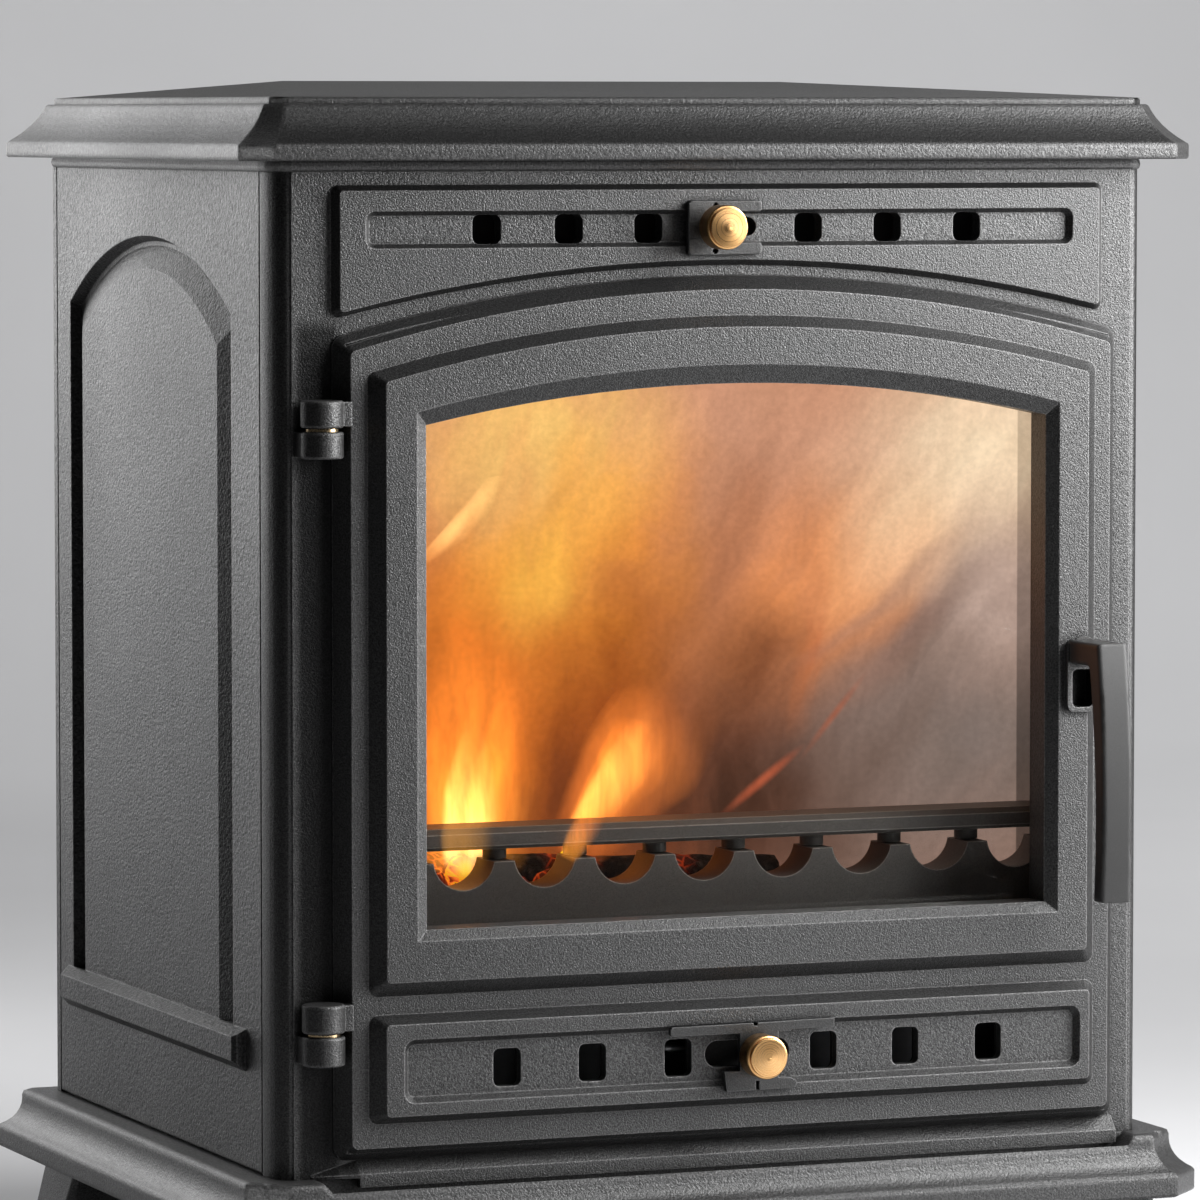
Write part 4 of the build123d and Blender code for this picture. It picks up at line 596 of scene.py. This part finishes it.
def ember_material(name, glow):
    """black crazed charcoal with glowing cracks"""
    m = Mat(name)
    b = m.bsdf((0.012, 0.011, 0.010), 0.9, 0.0, 0.2)
    v = m.voronoi(150.0, "DISTANCE_TO_EDGE")
    n = m.noise(70.0, 4.0, 0.6)
    ash = m.noise(260.0, 3.0, 0.6)
    m.link(m.mix(m.rng(ash.outputs["Fac"], 0.5, 0.75, 0.0, 0.7), (0.012, 0.010, 0.009), (0.11, 0.095, 0.085)), b.inputs["Base Color"])
    m.link(m.bump(m.math("ADD", v.outputs["Distance"], n.outputs["Fac"]), 0.9, 0.0015), b.inputs["Normal"])
    sep = m.node("ShaderNodeSeparateXYZ")
    m.link(m.co.outputs["Object"], sep.inputs[0])
    hot = None
    for cx, cz, rad, amp in glow:
        d = m.node("ShaderNodeVectorMath", operation="DISTANCE")
        comb = m.node("ShaderNodeCombineXYZ")
        m.link(sep.outputs["X"], comb.inputs[0])
        m.link(sep.outputs["Z"], comb.inputs[2])
        m.link(comb.outputs[0], d.inputs[0])
        d.inputs[1].default_value = (cx, 0.0, cz)
        g = m.rng(d.outputs["Value"], 0.0, rad, amp, 0.0, smooth=True)
        hot = g if hot is None else m.math("MAXIMUM", hot, g)
    crack = m.rng(m.math("ADD", v.outputs["Distance"], m.math("MULTIPLY", n.outputs["Fac"], 0.6)), 0.28, 0.42, 1.0, 0.12)
    heat = m.math("MULTIPLY", hot, m.math("MAXIMUM", crack, m.rng(hot, 0.75, 1.0, 0.0, 1.0)))
    col = m.ramp(heat, [(0.0, (0.0, 0.0, 0.0)), (0.12, (0.25, 0.02, 0.003)), (0.4, (0.95, 0.16, 0.02)), (0.75, (0.85, 0.36, 0.008)), (1.0, (0.72, 0.46, 0.0))])
    m.link(col, b.inputs["Emission Color"])
    b.inputs["Emission Strength"].default_value = 1.1
    return m.m


def lump(verts, faces, c, r, seed, squash=(1, 1, 1), rough=0.32):
    bm = bmesh.new()
    bmesh.ops.create_icosphere(bm, subdivisions=3, radius=1.0)
    base = len(verts)
    rot = Matrix.Rotation(seed * 1.7, 3, "Z") @ Matrix.Rotation(seed * 0.9, 3, "X")
    for v in bm.verts:
        p = v.co.copy()
        k = 1.0 + rough * noise.noise(p * 1.4 + Vector((seed, 0, 0))) + 0.5 * rough * noise.noise(p * 3.7 + Vector((0, seed, 0)))
        k = min(k, 1.0 + rough * 0.25)
        q = rot @ Vector((p.x * squash[0], p.y * squash[1], p.z * squash[2])) * k * r
        verts.append((c[0] + q.x, c[1] + q.y, c[2] + q.z))
    faces.extend([tuple(base + v.index for v in f.verts) for f in bm.faces])
    bm.free()


def make_coals():
    rnd = random.Random(11)
    verts, faces = [], []
    k = 0
    for x, y, r in ((-176, 92, 11), (-158, 84, 10), (-140, 96, 13), (-118, 85, 11), (-96, 98, 12), (-74, 84, 10), (-50, 92, 12),
                    (-28, 84, 10), (-4, 95, 12), (20, 85, 9), (44, 94, 10), (-165, 118, 12), (-128, 122, 13), (-88, 120, 12),
                    (-55, 118, 13), (-15, 118, 12), (25, 120, 11)):
        k += 1
        lump(verts, faces, (x / 1000.0, Y(y), Z(-411 + r * 0.85)), r / 1000.0, k * 1.31, (1.1, 0.95, 0.85))
    for x, y, z, r in ((-150, 88, -390, 10), (-128, 92, -386, 12), (-106, 88, -391, 10), (-114, 90, -374, 8.5), (-84, 90, -388, 10),
                       (-62, 88, -386, 10), (-48, 92, -373, 7.5), (-36, 88, -390, 10), (-12, 88, -389, 9), (14, 92, -392, 8)):
        k += 1
        lump(verts, faces, (x / 1000.0, Y(y), Z(z)), r / 1000.0, k * 1.77, (1.05, 1.0, 0.9))
    for i in range(26):
        k += 1
        r = rnd.uniform(3.0, 5.5)
        lump(verts, faces, (rnd.uniform(-0.19, 0.13), Y(rnd.uniform(74, 126)), Z(-411.5 + r * 0.8)), r / 1000.0, k * 0.63, (1, 1, 0.8))
    o = new_mesh("coals", verts, faces)
    o.data.materials.append(ember_material("ember_coal", ((-0.1135, Z(-374.5), 0.026, 1.0), (-0.132, Z(-388.0), 0.030, 0.50),
                                                          (-0.0515, Z(-366.0), 0.021, 1.5), (-0.010, Z(-370.0), 0.014, 0.30),
                                                          (0.030, Z(-372.0), 0.012, 0.22), (-0.08, Z(-400.0), 0.10, 0.22))))
    return o


def make_logs():
    verts, faces = [], []

    def log(p0, p1, r0, r1, seed):
        a, b = Vector(p0), Vector(p1)
        ax = (b - a).normalized()
        s = ax.cross(Vector((0, 0, 1))).normalized()
        t = s.cross(ax).normalized()
        nl, nr = 46, 36
        base = len(verts)
        for j in range(nl + 1):
            f = j / nl
            c = a.lerp(b, f) + t * (2.0 * math.sin(f * 3.0 + seed)) / 1000.0
            r = r0 + (r1 - r0) * f
            for i in range(nr):
                w = 2 * math.pi * i / nr
                n1 = noise.noise(Vector((math.cos(w) * 1.6 + seed, math.sin(w) * 1.6, f * 5.0)))
                n2 = noise.noise(Vector((math.cos(w) * 5.0, math.sin(w) * 5.0 + seed, f * 26.0)))
                groove = -0.05 if (math.sin(f * 95.0 + 3.0 * n1) > 0.82) else 0.0
                k = r * (1.0 + 0.13 * n1 + 0.06 * n2 + groove) / 1000.0
                verts.append(tuple(c + (s * math.cos(w) + t * math.sin(w)) * k))
        for j in range(nl):
            for i in range(nr):
                faces.append((base + j * nr + i, base + j * nr + (i + 1) % nr, base + (j + 1) * nr + (i + 1) % nr, base + (j + 1) * nr + i))
        for j, back in ((0, True), (nl, False)):
            ring = [base + j * nr + i for i in range(nr)]
            c = sum((Vector(verts[q]) for q in ring), Vector()) / nr
            verts.append(tuple(c + ax * (0.002 if back else -0.002)))
            m = len(verts) - 1
            for i in range(nr):
                f = (ring[i], ring[(i + 1) % nr], m)
                faces.append(f[::-1] if not back else f)

    log((-0.195, Y(108), Z(-380)), (0.075, Y(103), Z(-384)), 13.0, 11.0, 1.7)
    log((-0.120, Y(117), Z(-396)), (0.150, Y(101), Z(-397)), 13.0, 11.0, 4.2)
    o = new_mesh("charred_logs", verts, faces)
    o.data.materials.append(ember_material("charred_wood", ((-0.112, Z(-370.0), 0.030, 0.55), (-0.045, Z(-366.0), 0.022, 0.6),
                                                            (0.015, Z(-370.0), 0.016, 0.25))))
    return o


def make_fire():
    make_haze()
    make_coals()
    make_logs()
    hot = flame_material("flame_hot", (1.0, 0.80, 0.44), (1.0, 0.58, 0.16), (0.9, 0.26, 0.03), 4.0, 1.0, 0.34)
    warm = flame_material("flame_warm", (0.95, 0.36, 0.05), (0.85, 0.22, 0.02), (0.6, 0.11, 0.01), 5.0, 0.60, 0.12)
    glow = flame_material("flame_glow", (0.80, 0.18, 0.03), (0.75, 0.20, 0.03), (0.62, 0.17, 0.03), 3.0, 0.42, 0.2, 0.25)
    pale = flame_material("flame_pale", (1.0, 0.50, 0.14), (1.0, 0.58, 0.20), (1.0, 0.55, 0.20), 6.0, 0.42, 0.35, 0.2)
    lick = flame_material("flame_lick", (0.90, 0.20, 0.04), (1.0, 0.40, 0.08), (0.85, 0.27, 0.05), 6.0, 0.80, 0.16, 0.45)
    tongue("flame_left_core", [(-145, -374), (-144, -356), (-143, -335), (-142, -310), (-139, -275)], [12, 18, 17, 12, 3], 88, hot)
    tongue("flame_left_side", [(-150, -366), (-153, -340), (-158, -312), (-161, -280)], [9, 14, 11, 3], 92, warm)
    tongue("flame_left_lean", [(-138, -366), (-133, -345), (-126, -310), (-121, -275), (-124, -235)], [12, 18, 15, 11, 3], 92, warm)
    tongue("flame_left_outer", [(-143, -372), (-142, -340), (-140, -300), (-136, -255), (-132, -205)], [30, 42, 40, 30, 8], 98, warm)
    tongue("flame_mid_core", [(-90, -364), (-76, -344), (-63, -329), (-51, -314), (-41, -298), (-34, -280)],
           [6, 10, 14, 16, 13, 5], 88, lick)
    tongue("flame_mid_outer", [(-88, -360), (-70, -338), (-56, -322), (-44, -307), (-36, -292), (-38, -276)], [8, 15, 21, 24, 19, 6], 94, warm)
    tongue("flame_mid_glow", [(-92, -368), (-68, -340), (-50, -318), (-34, -300), (-20, -282), (-12, -262)], [14, 26, 34, 36, 28, 9], 99, glow)
    tongue("flame_high_streak", [(-176, -206), (-160, -193), (-146, -181), (-132, -165), (-121, -145)], [3.0, 5.5, 7.5, 6.5, 1.4], 100, pale)
    # licks that come forward over the guard
    tongue("flame_over_rail_left", [(-143, -372), (-143, -352), (-142, -338), (-142, -322)], [9, 17, 14, 4], 27, flame_material(
        "flame_veil", (0.95, 0.40, 0.01), (0.95, 0.42, 0.06), (0.8, 0.3, 0.05), 5.0, 0.22, 0.3, 0.2))
    tongue("flame_over_rail_mid", [(-86, -364), (-78, -350), (-70, -340), (-60, -330)], [5, 9, 8, 3], 27, warm)


make_fire()

# ------------------------------------------------------------------
# stage: pale floor running up into a plain backdrop
# ------------------------------------------------------------------
def sweep_stage():
    me = bpy.data.meshes.new("stage")
    bm = bmesh.new()
    prof = [(-6.0, 0.0), (-2.0, 0.0), (0.0, 0.0), (2.0, 0.0)]
    R = 1.6
    for i in range(0, 17):
        a = math.pi / 2 * i / 16
        prof.append((2.6 + R * math.sin(a), R - R * math.cos(a)))
    prof.append((2.6 + R, 6.0))
    rows = []
    for y, z in prof:
        rows.append([bm.verts.new((x, y, z - 0.0002)) for x in (-7.0, -2.5, 0.0, 2.5, 7.0)])
    for r0, r1 in zip(rows, rows[1:]):
        for k in range(4):
            bm.faces.new((r0[k], r0[k + 1], r1[k + 1], r1[k]))
    bm.normal_update()
    bm.to_mesh(me)
    bm.free()
    for p in me.polygons:
        p.use_smooth = True
    o = bpy.data.objects.new("stage", me)
    scene.collection.objects.link(o)
    m = Mat("stage_paint")
    b = m.bsdf((0.62, 0.62, 0.63), 0.85, 0.0, 0.2)
    n = m.noise(3.0, 3.0, 0.5)
    m.link(m.mix(m.rng(n.outputs["Fac"], 0.3, 0.7, 0.0, 1.0), (0.61, 0.61, 0.62), (0.63, 0.63, 0.64)), b.inputs["Base Color"])
    o.data.materials.append(m.m)
    return o


stage = sweep_stage()

# ------------------------------------------------------------------
# light
# ------------------------------------------------------------------
def area(name, loc, target, size, power, color=(1, 1, 1), shape="RECTANGLE", size_y=None, spread=180):
    d = bpy.data.lights.new(name, "AREA")
    d.energy = power
    d.color = color
    d.shape = shape
    d.size = size
    d.size_y = size_y if size_y else size
    d.spread = math.radians(spread)
    o = bpy.data.objects.new(name, d)
    o.location = loc
    v = Vector(target) - Vector(loc)
    o.rotation_euler = v.to_track_quat("-Z", "Y").to_euler()
    scene.collection.objects.link(o)
    return o


def softbox(name, az, el, dist, size, power, size_y=None, target=(0.0, 0.0, 0.38), spread=180):
    """a softbox round the stove: azimuth 0 is in front, 90 to its right"""
    a, e = math.radians(az), math.radians(el)
    t = Vector(target)
    o = area(name, t + Vector((math.sin(a) * math.cos(e), -math.cos(a) * math.cos(e), math.sin(e))) * dist,
             t, size, power, size_y=size_y, spread=spread)
    o.visible_camera = False
    return o


world = bpy.data.worlds.new("world")
scene.world = world
world.use_nodes = True
bg = world.node_tree.nodes["Background"]
bg.inputs["Color"].default_value = (0.95, 0.97, 1.0, 1.0)
bg.inputs["Strength"].default_value = 0.02

MIDDLE = (0.0, 0.0, 0.40)
for name, az, el, dist, power in (
        ("key_right", 50, 28, 1.15, 32.0), ("key_right_high", 50, 48, 1.15, 1.5), ("key_right_low", 62, 3, 1.9, 22.0),
        ("key_right_floor", 50, 3, 1.15, 5.0), ("front_high", 0, 60, 2.0, 6.0), ("corner_fill", 300, 6, 2.0, 15.0),
        ("rim_left_low", 205, 3, 1.6, 1.9), ("rim_left", 205, 14, 1.6, 2.5), ("rim_left_high", 205, 28, 1.6, 2.6),
        ("rim_left_front", 215, 6, 1.6, 1.4), ("rim_back", 198, 14, 1.6, 0.9)):
    box = softbox(name, az, el, dist, 0.7, power, target=MIDDLE)
    if name == "corner_fill":        # a reflector that only lifts the canted corners of the top and the plinth
        only = bpy.data.collections.new("corner_fill_only")
        for part in ("top_plate", "base_plinth"):
            only.objects.link(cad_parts[part])
        box.light_linking.receiver_collection = only
for name, at, to, long, power in (
        ("backdrop_wash", (0.4, 1.6, 3.0), (1.2, 3.9, 0.6), 2.4, 15.0), ("backdrop_right", (2.2, 1.2, 2.2), (2.6, 3.9, 0.4), 1.6, 54.0),
        ("backdrop_left", (-1.5, 1.2, 2.6), (-1.0, 3.9, 0.6), 2.0, 5.0)):
    w = area(name, at, to, long, power, size_y=0.8)
    w.visible_camera = False

scene.view_settings.view_transform = "Standard"
scene.view_settings.look = "None"

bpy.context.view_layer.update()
